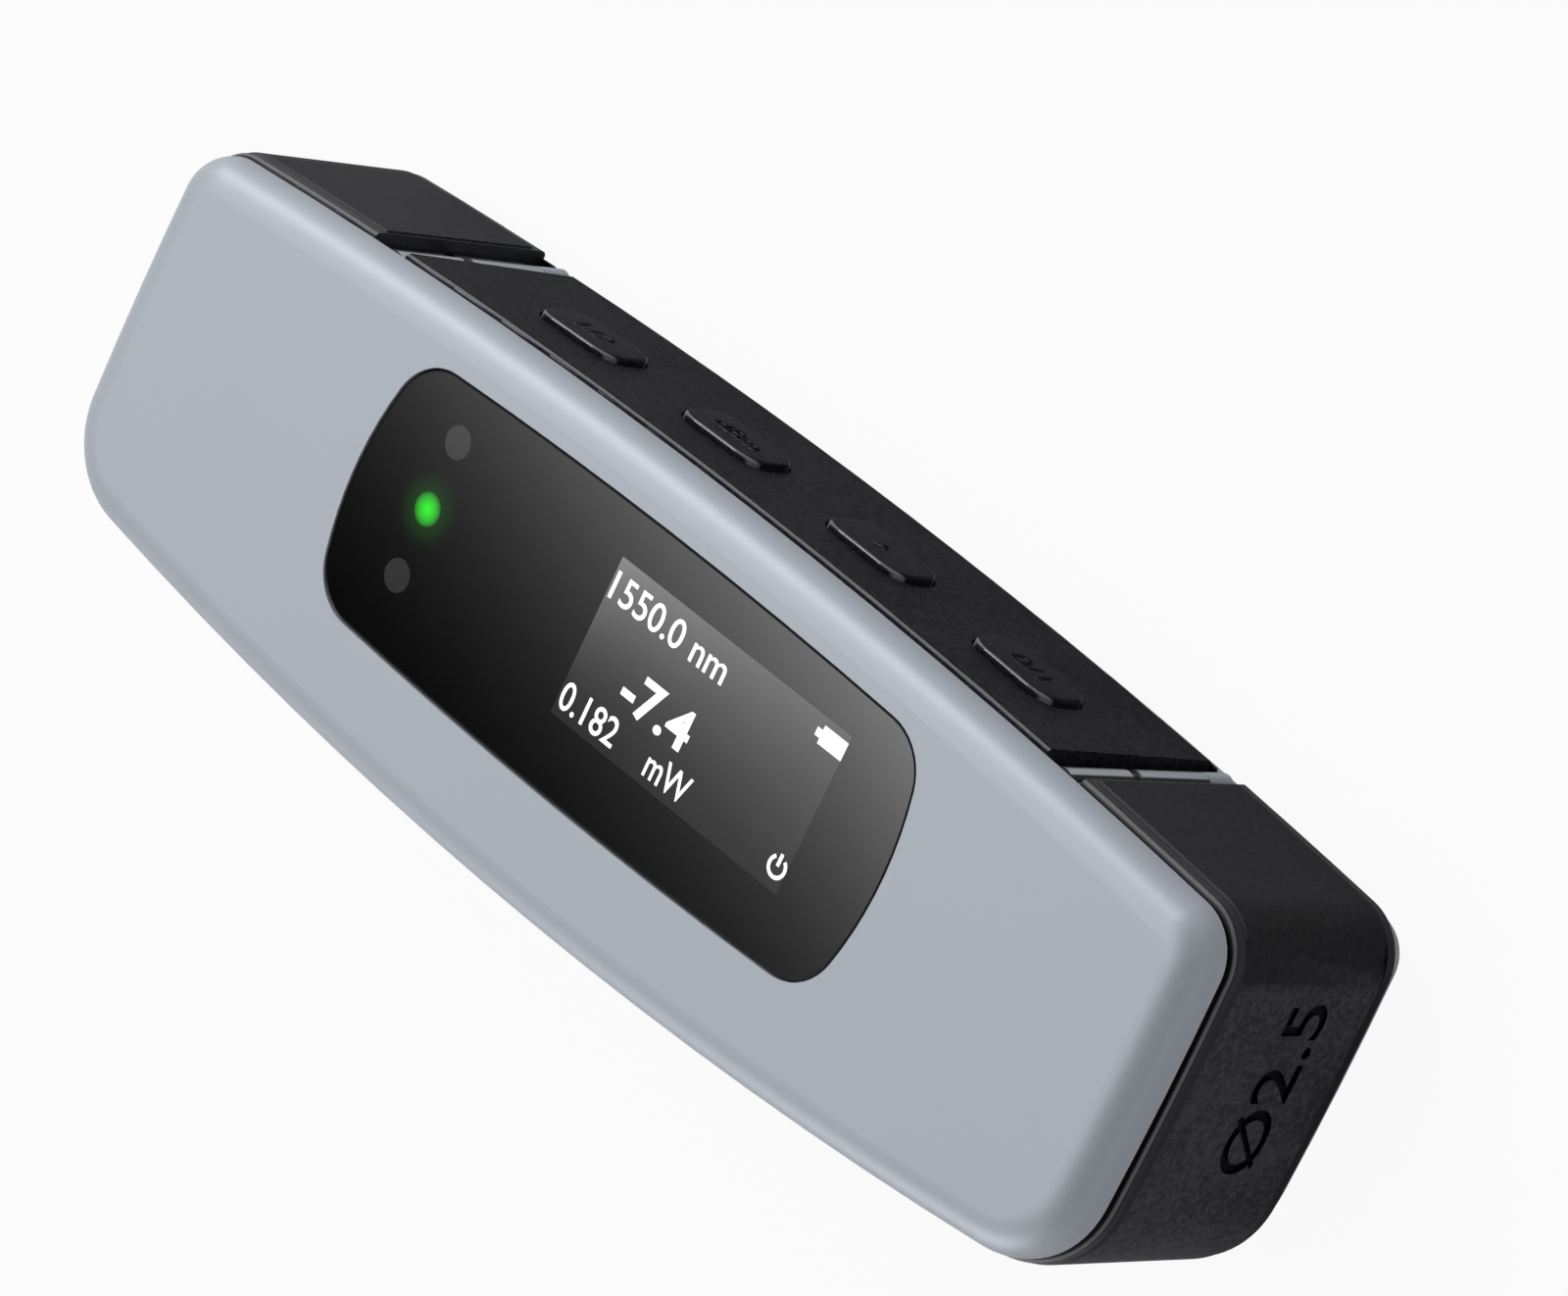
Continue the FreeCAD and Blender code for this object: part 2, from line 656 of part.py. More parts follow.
def key(x):
    """One key: crowned cap, retaining flange under the panel and a stem down to its switch."""
    y = key_edge_y(x)
    cap = key_prism(x, 0, y - PANEL_SEAT - 1.0, y + KEY_PROUD + 1.0)
    cap = cap.common(band(-KEY_PROUD, PANEL_SEAT + KEY_FLANGE_GAP, 0, CASE_DEPTH))
    crown = [e for e in cap.Edges if e.CenterOfMass.y > y + SKIN_PROUD + 0.1]
    cap = cap.makeFillet(KEY_CROWN_RADIUS, crown)
    flange_in = PANEL_SEAT + KEY_FLANGE_GAP
    flange = key_prism(x, KEY_FLANGE_RIM, y - PANEL_SEAT - 2.0, y)
    flange = flange.common(band(flange_in, flange_in + KEY_FLANGE_THICKNESS, 0, CASE_DEPTH))
    stem_top = y - flange_in - KEY_FLANGE_THICKNESS / 2
    stem = Part.makeCylinder(STEM_RADIUS, stem_top - (y - STEM_REACH), V(x, y - STEM_REACH, KEY_Z), V(0, 1, 0))
    return fuse(cap, flange, stem)


def switch_face_y():
    """Height of the switches' front face, set by the outermost key's stem."""
    lowest = min(key_edge_y(x) for x in KEY_XS)
    return lowest - STEM_REACH - PLUNGER_STAND


def switch_body(x):
    """Square tact switch with a round plunger hole."""
    top = switch_face_y()
    half = SWITCH_SIZE / 2
    body = block(x - half, x + half, top - SWITCH_HEIGHT, top, KEY_Z - half, KEY_Z + half)
    body = body.makeChamfer(SWITCH_CORNER, edges_along(body, V(0, 1, 0)))
    hole = Part.makeCylinder(
        PLUNGER_RADIUS + PLUNGER_FIT, PLUNGER_HOLE_DEPTH, V(x, top, KEY_Z), V(0, -1, 0)
    )
    return body.cut(hole)


def switch_plunger(x):
    """Plunger between a key's stem and its switch."""
    stem_end = key_edge_y(x) - STEM_REACH
    length = PLUNGER_LENGTH + (stem_end - switch_face_y() - PLUNGER_STAND)
    plunger = Part.makeCylinder(PLUNGER_RADIUS, length, V(x, stem_end - length, KEY_Z), V(0, 1, 0))
    return plunger.makeChamfer(0.15, [e for e in plunger.Edges if abs(e.CenterOfMass.y - stem_end) < 1e-5])


def key_board():
    """Upright board behind the switches."""
    top = switch_face_y() - SWITCH_HEIGHT
    half = SWITCH_SIZE / 2 + KEY_BOARD_MARGIN
    return block(
        KEY_XS[0] - half,
        KEY_XS[-1] + half,
        top - KEY_BOARD_THICKNESS,
        top,
        BAND_BOTTOM + KEY_BOARD_FOOT_GAP,
        GLASS_BOTTOM - KEY_BOARD_HEAD_GAP,
    )


# End covers


def cover_region(start, free_edge, z0, z1):
    """Space that one cover wraps: key side from start, over the end, below from free_edge."""
    upper = block(start, FAR, 0, FAR, z0, z1)
    lower = block(free_edge, FAR, -FAR, 0, z0, z1)
    return upper.fuse(lower).removeSplitter()


def cover_outer_edges(shape, z0, z1, limit):
    """The long outer edges of a wrapped cover band."""
    picked = []
    for edge in shape.Edges:
        box = edge.BoundBox
        if box.ZLength > 1e-5 or box.DiagonalLength < 0.5:
            continue
        if min(abs(box.ZMin - z0), abs(box.ZMin - z1)) > 1e-5:
            continue
        middle = edge.valueAt((edge.FirstParameter + edge.LastParameter) / 2)
        if limit.distToShape(Part.Vertex(middle.x, middle.y, 0))[0] < 1e-4:
            picked.append(edge)
    return picked


def cover_shell():
    """Hard shell of the right cover: a wrapped tray with raised rims, two barrels and their arms."""
    z0, z1 = COVER_BOTTOM, COVER_TOP
    inner = COVER_SHELL_IN + COVER_SHELL_WALL
    body = band(-SKIN_PROUD, inner, z0, z1).common(cover_region(COVER_START, COVER_FREE_EDGE, z0, z1))
    outer_line = line(-SKIN_PROUD)
    body = body.makeFillet(COVER_EDGE_RADIUS, cover_outer_edges(body, z0, z1, outer_line))
    for low, high in barrel_levels():
        body = body.fuse([barrel_arm(low, high), rod(BARREL_RADIUS, HINGE_X, HINGE_Y, low, high)])
    body = body.removeSplitter().cut(cover_pad_blank())
    return body.cut(rod(PIN_RADIUS + PIN_FIT, HINGE_X, HINGE_Y, 0, CASE_DEPTH))


def barrel_levels():
    """Heights of the two moving barrels, clear of the three fixed lugs."""
    low = BACK_LUG_TOP + LUG_GAP
    high = BAND_TOP - LUG_HEIGHT - LUG_GAP
    half_notch = CENTRE_LUG_HEIGHT / 2 + LUG_GAP
    return [(low, HINGE_MIDDLE - half_notch), (HINGE_MIDDLE + half_notch, high)]


def barrel_arm(low, high):
    """Arm from a barrel to the cover's shell."""
    top = HINGE_Y + HINGE_IN - COVER_SHELL_IN
    return block(HINGE_X, COVER_START + ARM_REACH, top - ARM_THICKNESS, top, low, high)


def cover_pad_blank():
    """Soft skin of the right cover, set in the shell's tray."""
    z0, z1 = COVER_BOTTOM + COVER_RIM, COVER_TOP - COVER_RIM
    pad = band(-SKIN_PROUD - PAD_PROUD, COVER_SHELL_IN, z0, z1)
    return pad.common(cover_region(COVER_START + PAD_END_MARGIN, COVER_FREE_EDGE + PAD_END_MARGIN, z0, z1))


def cover_pad():
    """The soft skin with its outer edges eased."""
    z0, z1 = COVER_BOTTOM + COVER_RIM, COVER_TOP - COVER_RIM
    pad = cover_pad_blank()
    edges = cover_outer_edges(pad, z0, z1, line(-SKIN_PROUD - PAD_PROUD))
    return pad.makeChamfer(PAD_EDGE_BEVEL, edges)


def seal_pad(y0, y1):
    """Flat seal inside the right cover, over what lies between two heights along Y."""
    inner = COVER_SHELL_IN + COVER_SHELL_WALL
    x_in = HALF_LENGTH - inner - SEAL_THICKNESS
    z0, z1 = BAND_MIDDLE - SEAL_DEPTH / 2, BAND_MIDDLE + SEAL_DEPTH / 2
    pad = rounded_block(x_in, HALF_LENGTH, y0, y1, z0, z1, SEAL_CORNER, V(1, 0, 0))
    return pad.common(slab(inner, z0, z1))


def meter_seal():
    """Seal over the measuring port."""
    half = METER_COLLAR_RADIUS + SEAL_MARGIN
    return seal_pad(METER_PORT_Y - half, METER_PORT_Y + half)


def left_seal():
    """Seal over the light port and the charging socket."""
    low = USB_Y - USB_WIDTH / 2 - SEAL_MARGIN / 2
    high = LASER_PORT_Y + LASER_COLLAR_RADIUS + SEAL_MARGIN / 2
    return other_end(seal_pad(low, high))


def hinge_pin():
    """Steel pin of the right hinge, held between the shells."""
    return rod(PIN_RADIUS, HINGE_X, HINGE_Y, SHELL_DEPTH, FRONT_SPLIT)


# Ports


def meter_port():
    """Collar, adapter, holder and detector of the measuring port, from the mouth inwards."""
    mouth = PORT_FACE_X
    y, z = METER_PORT_Y, PORT_Z
    collar_end = mouth - METER_COLLAR_LENGTH
    collar = end_rod(METER_COLLAR_RADIUS, collar_end, mouth, y, z)
    collar = collar.makeChamfer(0.4, [e for e in collar.Edges if abs(e.CenterOfMass.x - mouth) < 1e-5])
    collar = collar.cut(end_rod(METER_ADAPTER_RADIUS, collar_end, mouth, y, z))
    adapter_end = mouth - METER_ADAPTER_LENGTH
    adapter = end_rod(METER_ADAPTER_RADIUS, adapter_end, mouth, y, z)
    adapter = adapter.cut(end_rod(FERRULE_BORE_RADIUS, adapter_end, mouth, y, z))
    entry = [e for e in adapter.Edges if abs(e.CenterOfMass.x - mouth) < 1e-5 and e.BoundBox.YLength < 3.0]
    adapter = adapter.makeChamfer(0.25, entry)
    holder_end = collar_end - HOLDER_LENGTH
    holder = end_rod(HOLDER_RADIUS, holder_end, collar_end, y, z)
    holder = holder.cut(end_rod(METER_ADAPTER_RADIUS, adapter_end, collar_end, y, z))
    holder = holder.cut(end_rod(DETECTOR_BASE_RADIUS, holder_end, adapter_end, y, z))
    can_front = adapter_end
    can_back = can_front - DETECTOR_LENGTH
    can = end_rod(DETECTOR_RADIUS, can_back, can_front, y, z)
    base = end_rod(DETECTOR_BASE_RADIUS, can_back - DETECTOR_BASE, can_back, y, z)
    leads = []
    for i in range(3):
        turn = math.radians(90 + 120 * i)
        lead_y = y + LEAD_CIRCLE * math.cos(turn)
        lead_z = z + LEAD_CIRCLE * math.sin(turn)
        leads.append(end_rod(LEAD_RADIUS, can_back - DETECTOR_BASE - LEAD_LENGTH, can_back, lead_y, lead_z))
    detector = fuse(can, base, *leads)
    return {
        "meter_port_collar": collar,
        "meter_port_adapter": adapter,
        "detector_holder": holder,
        "detector_can": detector,
    }


def laser_port():
    """Collar, ferrule sleeve, barrel and light source of the fault-finder port, at the left end."""
    mouth = -PORT_FACE_X
    y, z = LASER_PORT_Y, PORT_Z
    collar = end_rod(LASER_COLLAR_RADIUS, mouth, mouth + LASER_COLLAR_LENGTH, y, z)
    collar = collar.makeChamfer(0.3, [e for e in collar.Edges if abs(e.CenterOfMass.x - mouth) < 1e-5])
    collar = collar.cut(end_rod(LASER_BARREL_RADIUS, mouth, mouth + LASER_COLLAR_LENGTH, y, z))
    barrel_end = mouth + LASER_BARREL_LENGTH
    barrel = end_rod(LASER_BARREL_RADIUS, mouth, barrel_end, y, z)
    barrel = barrel.cut(end_rod(LASER_SLEEVE_RADIUS, mouth, barrel_end, y, z))
    barrel = barrel.cut(end_rod(LASER_CAN_RADIUS, barrel_end - LASER_CAN_LENGTH, barrel_end, y, z))
    sleeve = end_rod(LASER_SLEEVE_RADIUS, mouth, mouth + LASER_SLEEVE_LENGTH, y, z)
    sleeve = sleeve.cut(end_rod(FERRULE_BORE_RADIUS, mouth, mouth + LASER_SLEEVE_LENGTH, y, z))
    can = end_rod(LASER_CAN_RADIUS, barrel_end - LASER_CAN_LENGTH, barrel_end, y, z)
    base = end_rod(LASER_BARREL_RADIUS, barrel_end, barrel_end + DETECTOR_BASE, y, z)
    diode = fuse(can, base)
    return {
        "laser_port_collar": collar,
        "laser_barrel": barrel,
        "laser_sleeve": sleeve,
        "laser_diode": diode,
    }


def usb_socket():
    """Metal shell and inner tongue of the charging socket, standing on the main board."""
    mouth = -(WALL_FACE_X - USB_SET_IN)
    back = mouth + USB_LENGTH
    y0, y1 = USB_Y - USB_WIDTH / 2, USB_Y + USB_WIDTH / 2
    z0, z1 = BOARD_TOP, BOARD_TOP + USB_HEIGHT
    axis = V(1, 0, 0)
    shell = rounded_block(mouth, back, y0, y1, z0, z1, USB_HEIGHT / 2 - 0.05, axis)
    wall = USB_WALL
    inside = rounded_block(
        mouth, back - wall, y0 + wall, y1 - wall, z0 + wall, z1 - wall, USB_HEIGHT / 2 - 0.05 - wall, axis
    )
    shell = shell.cut(inside)
    middle = (z0 + z1) / 2
    half_t = USB_TONGUE_THICKNESS / 2
    half_w = USB_TONGUE_WIDTH / 2
    tongue = block(mouth + USB_TONGUE_SET_IN, back - wall, USB_Y - half_w, USB_Y + half_w, middle - half_t, middle + half_t)
    return shell, tongue


# Boards, battery and display


def board_key_edge():
    """Key-side edge of the main board, just behind the key board."""
    return switch_face_y() - SWITCH_HEIGHT - KEY_BOARD_THICKNESS - BOARD_KEY_GAP


def main_board():
    """Main board: full width in the middle, ears to the screws, a tab under the charging socket."""
    z0, z1 = BOARD_Z, BOARD_TOP
    middle = block(-BOARD_HALF_LENGTH, BOARD_HALF_LENGTH, BOARD_LOWER_EDGE, board_key_edge(), z0, z1)
    tab = block(-FAR, -BOARD_HALF_LENGTH, USB_Y - USB_WIDTH / 2, USB_Y + USB_WIDTH / 2, z0, z1)
    board = fuse(middle, tab).common(slab(COVER_SEAT + FRAME_WALL + BOARD_EDGE_GAP, z0, z1))
    laser_cut = block(
        -FAR,
        -PORT_FACE_X + LASER_BARREL_LENGTH + DETECTOR_BASE + BOARD_CUT_GAP,
        LASER_PORT_Y - LASER_BARREL_RADIUS - BOARD_CUT_GAP,
        LASER_PORT_Y + LASER_BARREL_RADIUS + BOARD_CUT_GAP,
        z0,
        z1,
    )
    board = board.cut(laser_cut)
    for x, y in SCREW_PLACES:
        board = board.cut(rod(SCREW_RADIUS + BOARD_HOLE_GAP, x, y, z0, z1))
    return board


def board_link():
    """Pin header that joins the key board to the main board."""
    back = switch_face_y() - SWITCH_HEIGHT - KEY_BOARD_THICKNESS
    half = LINK_LENGTH / 2
    return block(LINK_X - half, LINK_X + half, back - LINK_WIDTH, back, BOARD_TOP, BOARD_TOP + LINK_HEIGHT)


def on_board(x, y, length, width, height):
    """A plain component that stands on the main board."""
    return block(x - length / 2, x + length / 2, y - width / 2, y + width / 2, BOARD_TOP, BOARD_TOP + height)


def battery_cell():
    """Flat pouch cell with rounded long edges, on its foam pad."""
    z0 = BACK_WALL + BATTERY_PAD
    half_x, half_y = BATTERY_LENGTH / 2, BATTERY_WIDTH / 2
    return rounded_block(
        -half_x,
        half_x,
        BATTERY_Y - half_y,
        BATTERY_Y + half_y,
        z0,
        z0 + BATTERY_THICKNESS,
        BATTERY_EDGE_RADIUS,
        V(1, 0, 0),
    )


def battery_pad():
    """Foam pad that holds the cell to the back shell."""
    half_x = BATTERY_LENGTH / 2 - 3.0
    half_y = BATTERY_WIDTH / 2 - BATTERY_EDGE_RADIUS - 0.5
    return block(-half_x, half_x, BATTERY_Y - half_y, BATTERY_Y + half_y, BACK_WALL, BACK_WALL + BATTERY_PAD)


def glass_span():
    """Edges of the display glass: x0, x1, y0, y1."""
    y1 = LIT_Y + LIT_HEIGHT / 2 + GLASS_TOP_MARGIN
    return LIT_X - GLASS_LENGTH / 2, LIT_X + GLASS_LENGTH / 2, y1 - GLASS_WIDTH, y1


def display_glass():
    """Display glass behind the window."""
    x0, x1, y0, y1 = glass_span()
    return block(x0, x1, y0, y1, GLASS_BOTTOM, GLASS_TOP)


def display_carrier():
    """Plate with four legs that carries the display glass over the main board."""
    x0, x1, y0, y1 = glass_span()
    z0, z1 = GLASS_BOTTOM - CARRIER_THICKNESS, GLASS_BOTTOM
    y0, y1 = y0 + FLEX_BEND, min(y1, board_key_edge()) - CARRIER_RIM
    plate = block(x0 - CARRIER_RIM, x1 + CARRIER_RIM, y0, y1, z0, z1)
    inset = CARRIER_LEG_INSET
    places = [(x, y) for x in (x0 + inset, x1 - inset) for y in (y0 + inset, y1 - inset)]
    half = CARRIER_LEG_WIDTH / 2
    return fuse(plate, *[block(x - half, x + half, y - half, y + half, BOARD_TOP, z0) for x, y in places])


def display_flex():
    """Flat cable that leaves the glass's lower edge and turns down to the main board."""
    y0 = glass_span()[2]
    t = FLEX_THICKNESS
    bend = FLEX_BEND
    x0 = LIT_X - FLEX_WIDTH / 2
    top = GLASS_BOTTOM
    path = [V(x0, y0 + FLEX_TAIL, top), V(x0, y0, top), V(x0, y0 - bend, top - bend), V(x0, y0 - bend, BOARD_TOP)]
    mid = V(x0, y0 - bend * math.sin(math.pi / 4), top - bend * (1 - math.cos(math.pi / 4)))
    outer = [Part.makeLine(path[0], path[1]), Part.Arc(path[1], mid, path[2]).toShape(), Part.makeLine(path[2], path[3])]
    inner_bend = bend - t
    p1 = V(x0, y0, top - t)
    p2 = V(x0, y0 - inner_bend, top - bend)
    mid2 = V(x0, y0 - inner_bend * math.sin(math.pi / 4), top - t - inner_bend * (1 - math.cos(math.pi / 4)))
    p3 = V(x0, y0 - inner_bend, BOARD_TOP)
    p0 = V(x0, y0 + FLEX_TAIL, top - t)
    inner = [Part.makeLine(p3, p2), Part.Arc(p2, mid2, p1).toShape(), Part.makeLine(p1, p0)]
    ends = [Part.makeLine(path[3], p3), Part.makeLine(p0, path[0])]
    wire = Part.Wire(outer + [ends[0]] + inner + [ends[1]])
    return Part.Face(wire).extrude(V(FLEX_WIDTH, 0, 0))


def light_guide():
    """Three clear pipes from the status lamps to the window, moulded on one bridge with two legs."""
    top = LENS_BOTTOM - PIPE_LENS_GAP
    foot = BOARD_TOP + LAMP_HEIGHT + LAMP_GAP
    pipes = [rod(PIPE_RADIUS, LIGHT_X, y, foot, top) for y in LIGHT_YS]
    y0, y1 = LIGHT_YS[0] - PIPE_RADIUS, LIGHT_YS[-1] + PIPE_RADIUS
    half = BRIDGE_WIDTH / 2
    bridge = block(LIGHT_X - half, LIGHT_X + half, y0, y1, BRIDGE_Z, BRIDGE_Z + BRIDGE_THICKNESS)
    gaps = [(a + b) / 2 for a, b in zip(LIGHT_YS, LIGHT_YS[1:])]
    leg = BRIDGE_LEG_WIDTH / 2
    legs = [block(LIGHT_X - leg, LIGHT_X + leg, y - leg, y + leg, BOARD_TOP, BRIDGE_Z) for y in gaps]
    return fuse(bridge, *pipes, *legs)


def status_leds():
    """Three small lamps under the light pipes, as one group."""
    return Part.makeCompound([on_board(LIGHT_X, y, LAMP_LENGTH, LAMP_WIDTH, LAMP_HEIGHT) for y in LIGHT_YS])


def main():
    """Build and write every piece."""
    save("front_shell", front_shell())
    save("back_shell", back_shell())
    save("mid_frame", mid_frame())
    save("window_lens", window_lens())
    save("window_gasket", window_gasket())
    save("key_panel", key_panel())
    for number, x in enumerate(KEY_XS, start=1):
        save("key_%d" % number, key(x))
        save("switch_body_%d" % number, switch_body(x))
        save("switch_plunger_%d" % number, switch_plunger(x))
    save("key_board", key_board())
    save("board_link", board_link())
    save("right_cover_shell", cover_shell())
    save("right_cover_pad", cover_pad())
    save("right_cover_seal", meter_seal())
    save("right_hinge_pin", hinge_pin())
    save("left_cover_shell", other_end(cover_shell()))
    save("left_cover_pad", other_end(cover_pad()))
    save("left_cover_seal", left_seal())
    save("left_hinge_pin", other_end(hinge_pin()))
    for name, shape in {**meter_port(), **laser_port()}.items():
        save(name, shape)
    usb_shell, usb_tongue = usb_socket()
    save("usb_shell", usb_shell)
    save("usb_tongue", usb_tongue)
    save("main_board", main_board())
    save("controller_chip", on_board(CHIP_X, CHIP_Y, CHIP_SIZE, CHIP_SIZE, CHIP_HEIGHT))
    save("amplifier_chip", on_board(AMPLIFIER_X, METER_PORT_Y, AMPLIFIER_SIZE, AMPLIFIER_SIZE, CHIP_HEIGHT))
    battery_socket = on_board(
        BATTERY_SOCKET_X, BATTERY_SOCKET_Y, BATTERY_SOCKET_LENGTH, BATTERY_SOCKET_WIDTH, BATTERY_SOCKET_HEIGHT
    )
    save("battery_socket", battery_socket)
    save("battery_cell", battery_cell())
    save("battery_pad", battery_pad())
    save("display_glass", display_glass())
    save("display_carrier", display_carrier())
    save("display_flex", display_flex())
    save("light_guide", light_guide())
    save("status_leds", status_leds())
    save("case_screws", case_screws())


main()
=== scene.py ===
"""Looks of a pocket optical power meter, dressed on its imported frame.

Lengths in this file are millimetres until they reach Blender, which works in metres.
"""

import logging
import math
from collections.abc import Callable, Iterator
from contextlib import contextmanager
from dataclasses import dataclass
from enum import Enum

import bpy
from mathutils import Matrix, Vector


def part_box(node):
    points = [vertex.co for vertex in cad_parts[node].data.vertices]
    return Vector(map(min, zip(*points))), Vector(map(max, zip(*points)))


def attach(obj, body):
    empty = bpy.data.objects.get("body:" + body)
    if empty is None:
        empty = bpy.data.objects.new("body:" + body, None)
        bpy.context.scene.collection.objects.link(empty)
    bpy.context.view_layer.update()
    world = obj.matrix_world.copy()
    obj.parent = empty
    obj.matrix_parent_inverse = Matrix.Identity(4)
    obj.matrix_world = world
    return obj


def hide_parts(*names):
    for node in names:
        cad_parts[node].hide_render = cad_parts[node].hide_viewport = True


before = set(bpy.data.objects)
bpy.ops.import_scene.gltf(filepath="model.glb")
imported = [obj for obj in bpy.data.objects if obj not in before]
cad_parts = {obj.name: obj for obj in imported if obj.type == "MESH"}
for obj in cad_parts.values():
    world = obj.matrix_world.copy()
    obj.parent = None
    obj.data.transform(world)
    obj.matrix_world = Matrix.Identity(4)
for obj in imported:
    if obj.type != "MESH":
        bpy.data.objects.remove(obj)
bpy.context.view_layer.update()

Pair = tuple[float, float]
Triple = tuple[float, float, float]
Color = Triple
Edge = tuple[float, float, float, float]
Piece = bpy.types.Object
Face = bpy.types.MeshPolygon
Material = bpy.types.Material

LOG = logging.getLogger("power_meter")
MM = 0.001
IMAGE_WIDTH = 1600
CAPITAL_SHARE = 0.729
WINDOW_IOR = 1.65
WORD_MERGE = 0.001
COPY_MERGE = 0.002
CUT_ANGLE = 40.0
CUT_WEIGHT = 90
BLACK: Color = (0.0, 0.0, 0.0)
WHITE: Color = (1.0, 1.0, 1.0)
# Where the painted highlights on rounded front edges start, are full, fade and end.
PAINTED_HIGHLIGHT_EDGE: Edge = (0.32, 0.5, 0.72, 0.9)


def metres(*lengths: float) -> tuple[float, ...]:
    """Turn millimetres into Blender's metres."""
    return tuple(length * MM for length in lengths)


def srgb(red: int, green: int, blue: int) -> Color:
    """Give a display colour of 0 to 255 as the linear colour that shaders take."""

    def linear(level: int) -> float:
        """One part of the colour."""
        value = level / 255
        return value / 12.92 if value <= 0.04045 else ((value + 0.055) / 1.055) ** 2.4

    return linear(red), linear(green), linear(blue)


def window_point(from_middle: Pair) -> Triple:
    """A point on the window's face, in millimetres, from how far it is from the middle."""
    low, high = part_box("window_lens")
    middle = (low + high) / 2 / MM
    return middle.x + from_middle[0], middle.y + from_middle[1], high.z / MM


def times(color: Color, factor: float) -> Color:
    """A colour made lighter or darker by a factor."""
    return tuple(min(part * factor, 1.0) for part in color)


class Body(Enum):
    """The bodies that pieces ride on, besides the keys' own."""

    CASE = "case"
    RIGHT_COVER = "right_cover"


class Facing(Enum):
    """Ways that a mark can face, as the directions of its reading line, its top and its front."""

    FRONT = (Vector((1, 0, 0)), Vector((0, 1, 0)), Vector((0, 0, 1)))
    KEY_SIDE = (Vector((1, 0, 0)), Vector((0, 0, -1)), Vector((0, 1, 0)))
    RIGHT_END = (Vector((0, 1, 0)), Vector((0, 0, 1)), Vector((1, 0, 0)))

    def placed_at(self, place: Vector) -> Matrix:
        """Matrix that stands a flat mark at a place, in metres, facing this way."""
        return Matrix.Translation(place) @ Matrix(self.value).transposed().to_4x4()


def math_step(operation: str, turned: bool = False) -> Callable[["Value", "Value | float"], "Value"]:
    """Make a method that joins two values by one Math node.

    Args:
        operation: What the node does.
        turned: Whether the method's own value comes second.

    Returns:
        The method.
    """

    def step(self: "Value", other: "Value | float") -> "Value":
        """Add the node."""
        first, second = (other, self) if turned else (self, other)
        return self.tree.node("Math", {"operation": operation}, {0: first, 1: second})

    return step


class Value:
    """An output socket that Python arithmetic turns into Math nodes.

    A comparison gives one where it holds, else nought. A remainder never goes below nought.
    """

    __add__ = __radd__ = math_step("ADD")
    __mul__ = __rmul__ = math_step("MULTIPLY")
    __sub__ = math_step("SUBTRACT")
    __rsub__ = math_step("SUBTRACT", turned=True)
    __truediv__ = math_step("DIVIDE")
    __pow__ = math_step("POWER")
    __mod__ = math_step("FLOORED_MODULO")
    __gt__ = math_step("GREATER_THAN")
    __lt__ = math_step("LESS_THAN")
    at_most = math_step("MINIMUM")
    at_least = math_step("MAXIMUM")

    def __init__(self, tree: "NodeTree", socket: bpy.types.NodeSocket) -> None:
        """Keep the socket and the tree it belongs to."""
        self.tree = tree
        self.socket = socket

    def __abs__(self) -> "Value":
        """Size without its sign."""
        return self.tree.node("Math", {"operation": "ABSOLUTE"}, {0: self})

    def ramp(self, low: float, high: float, to_low: float = 0.0, to_high: float = 1.0) -> "Value":
        """Map the stretch from low to high smoothly to another one, held at both ends."""
        settings = {"interpolation_type": "SMOOTHSTEP"}
        return self.tree.node("MapRange", settings, {0: self, 1: low, 2: high, 3: to_low, 4: to_high})


def varied(base: "Value | float", *patterns: tuple[Value, float]) -> Value:
    """A number that patterns raise and lower, each by up to half of its share."""
    for pattern, share in patterns:
        base = base + (pattern - 0.5) * share
    return base


class NodeTree:
    """A tree of nodes that expressions on values grow."""

    def __init__(self, tree: bpy.types.NodeTree) -> None:
        """Start from a tree, emptied of its nodes."""
        self.tree = tree
        self.tree.nodes.clear()

    def node(
        self,
        kind: str,
        settings: dict[str, str] | None = None,
        sockets: dict[int | str, object] | None = None,
        output: int | str = 0,
    ) -> Value:
        """Add any node: its settings first, then the values or links of its sockets.

        Args:
            kind: Node type without its ShaderNode prefix.
            settings: Properties of the node.
            sockets: Input sockets by number or name, each a number, a colour, a vector or a Value.
            output: The output socket that the returned Value stands for.

        Returns:
            The chosen output.
        """
        added = self.tree.nodes.new("ShaderNode" + kind)
        for key, setting in (settings or {}).items():
            setattr(added, key, setting)
        for key, given in (sockets or {}).items():
            self.feed(added.inputs[key], given)
        return Value(self, added.outputs[output] if len(added.outputs) else None)

    def feed(self, socket: bpy.types.NodeSocket, given: object) -> None:
        """Link a Value to a socket, or set the socket's own value."""
        if isinstance(given, Value):
            self.tree.links.new(given.socket, socket)
        elif socket.type == "RGBA" and len(given) == 3:
            socket.default_value = (*given, 1.0)
        else:
            socket.default_value = given

    def part(self, vector: Value, letter: str) -> Value:
        """One part of a vector."""
        return self.node("SeparateXYZ", sockets={0: vector}, output=letter)

    def blend(self, share: Value, first: Value | Color, second: Value | Color) -> Value:
        """Mix two colours."""
        return self.node("Mix", {"data_type": "RGBA"}, {0: share, 6: first, 7: second}, output=2)

    def either(self, share: Value, first: Value, second: Value) -> Value:
        """Mix two surfaces or lights."""
        return self.node("MixShader", sockets={0: share, 1: first, 2: second})

    def emission(self, strength: Value | float) -> Value:
        """Plain white light."""
        return self.node("Emission", sockets={0: WHITE, 1: strength})


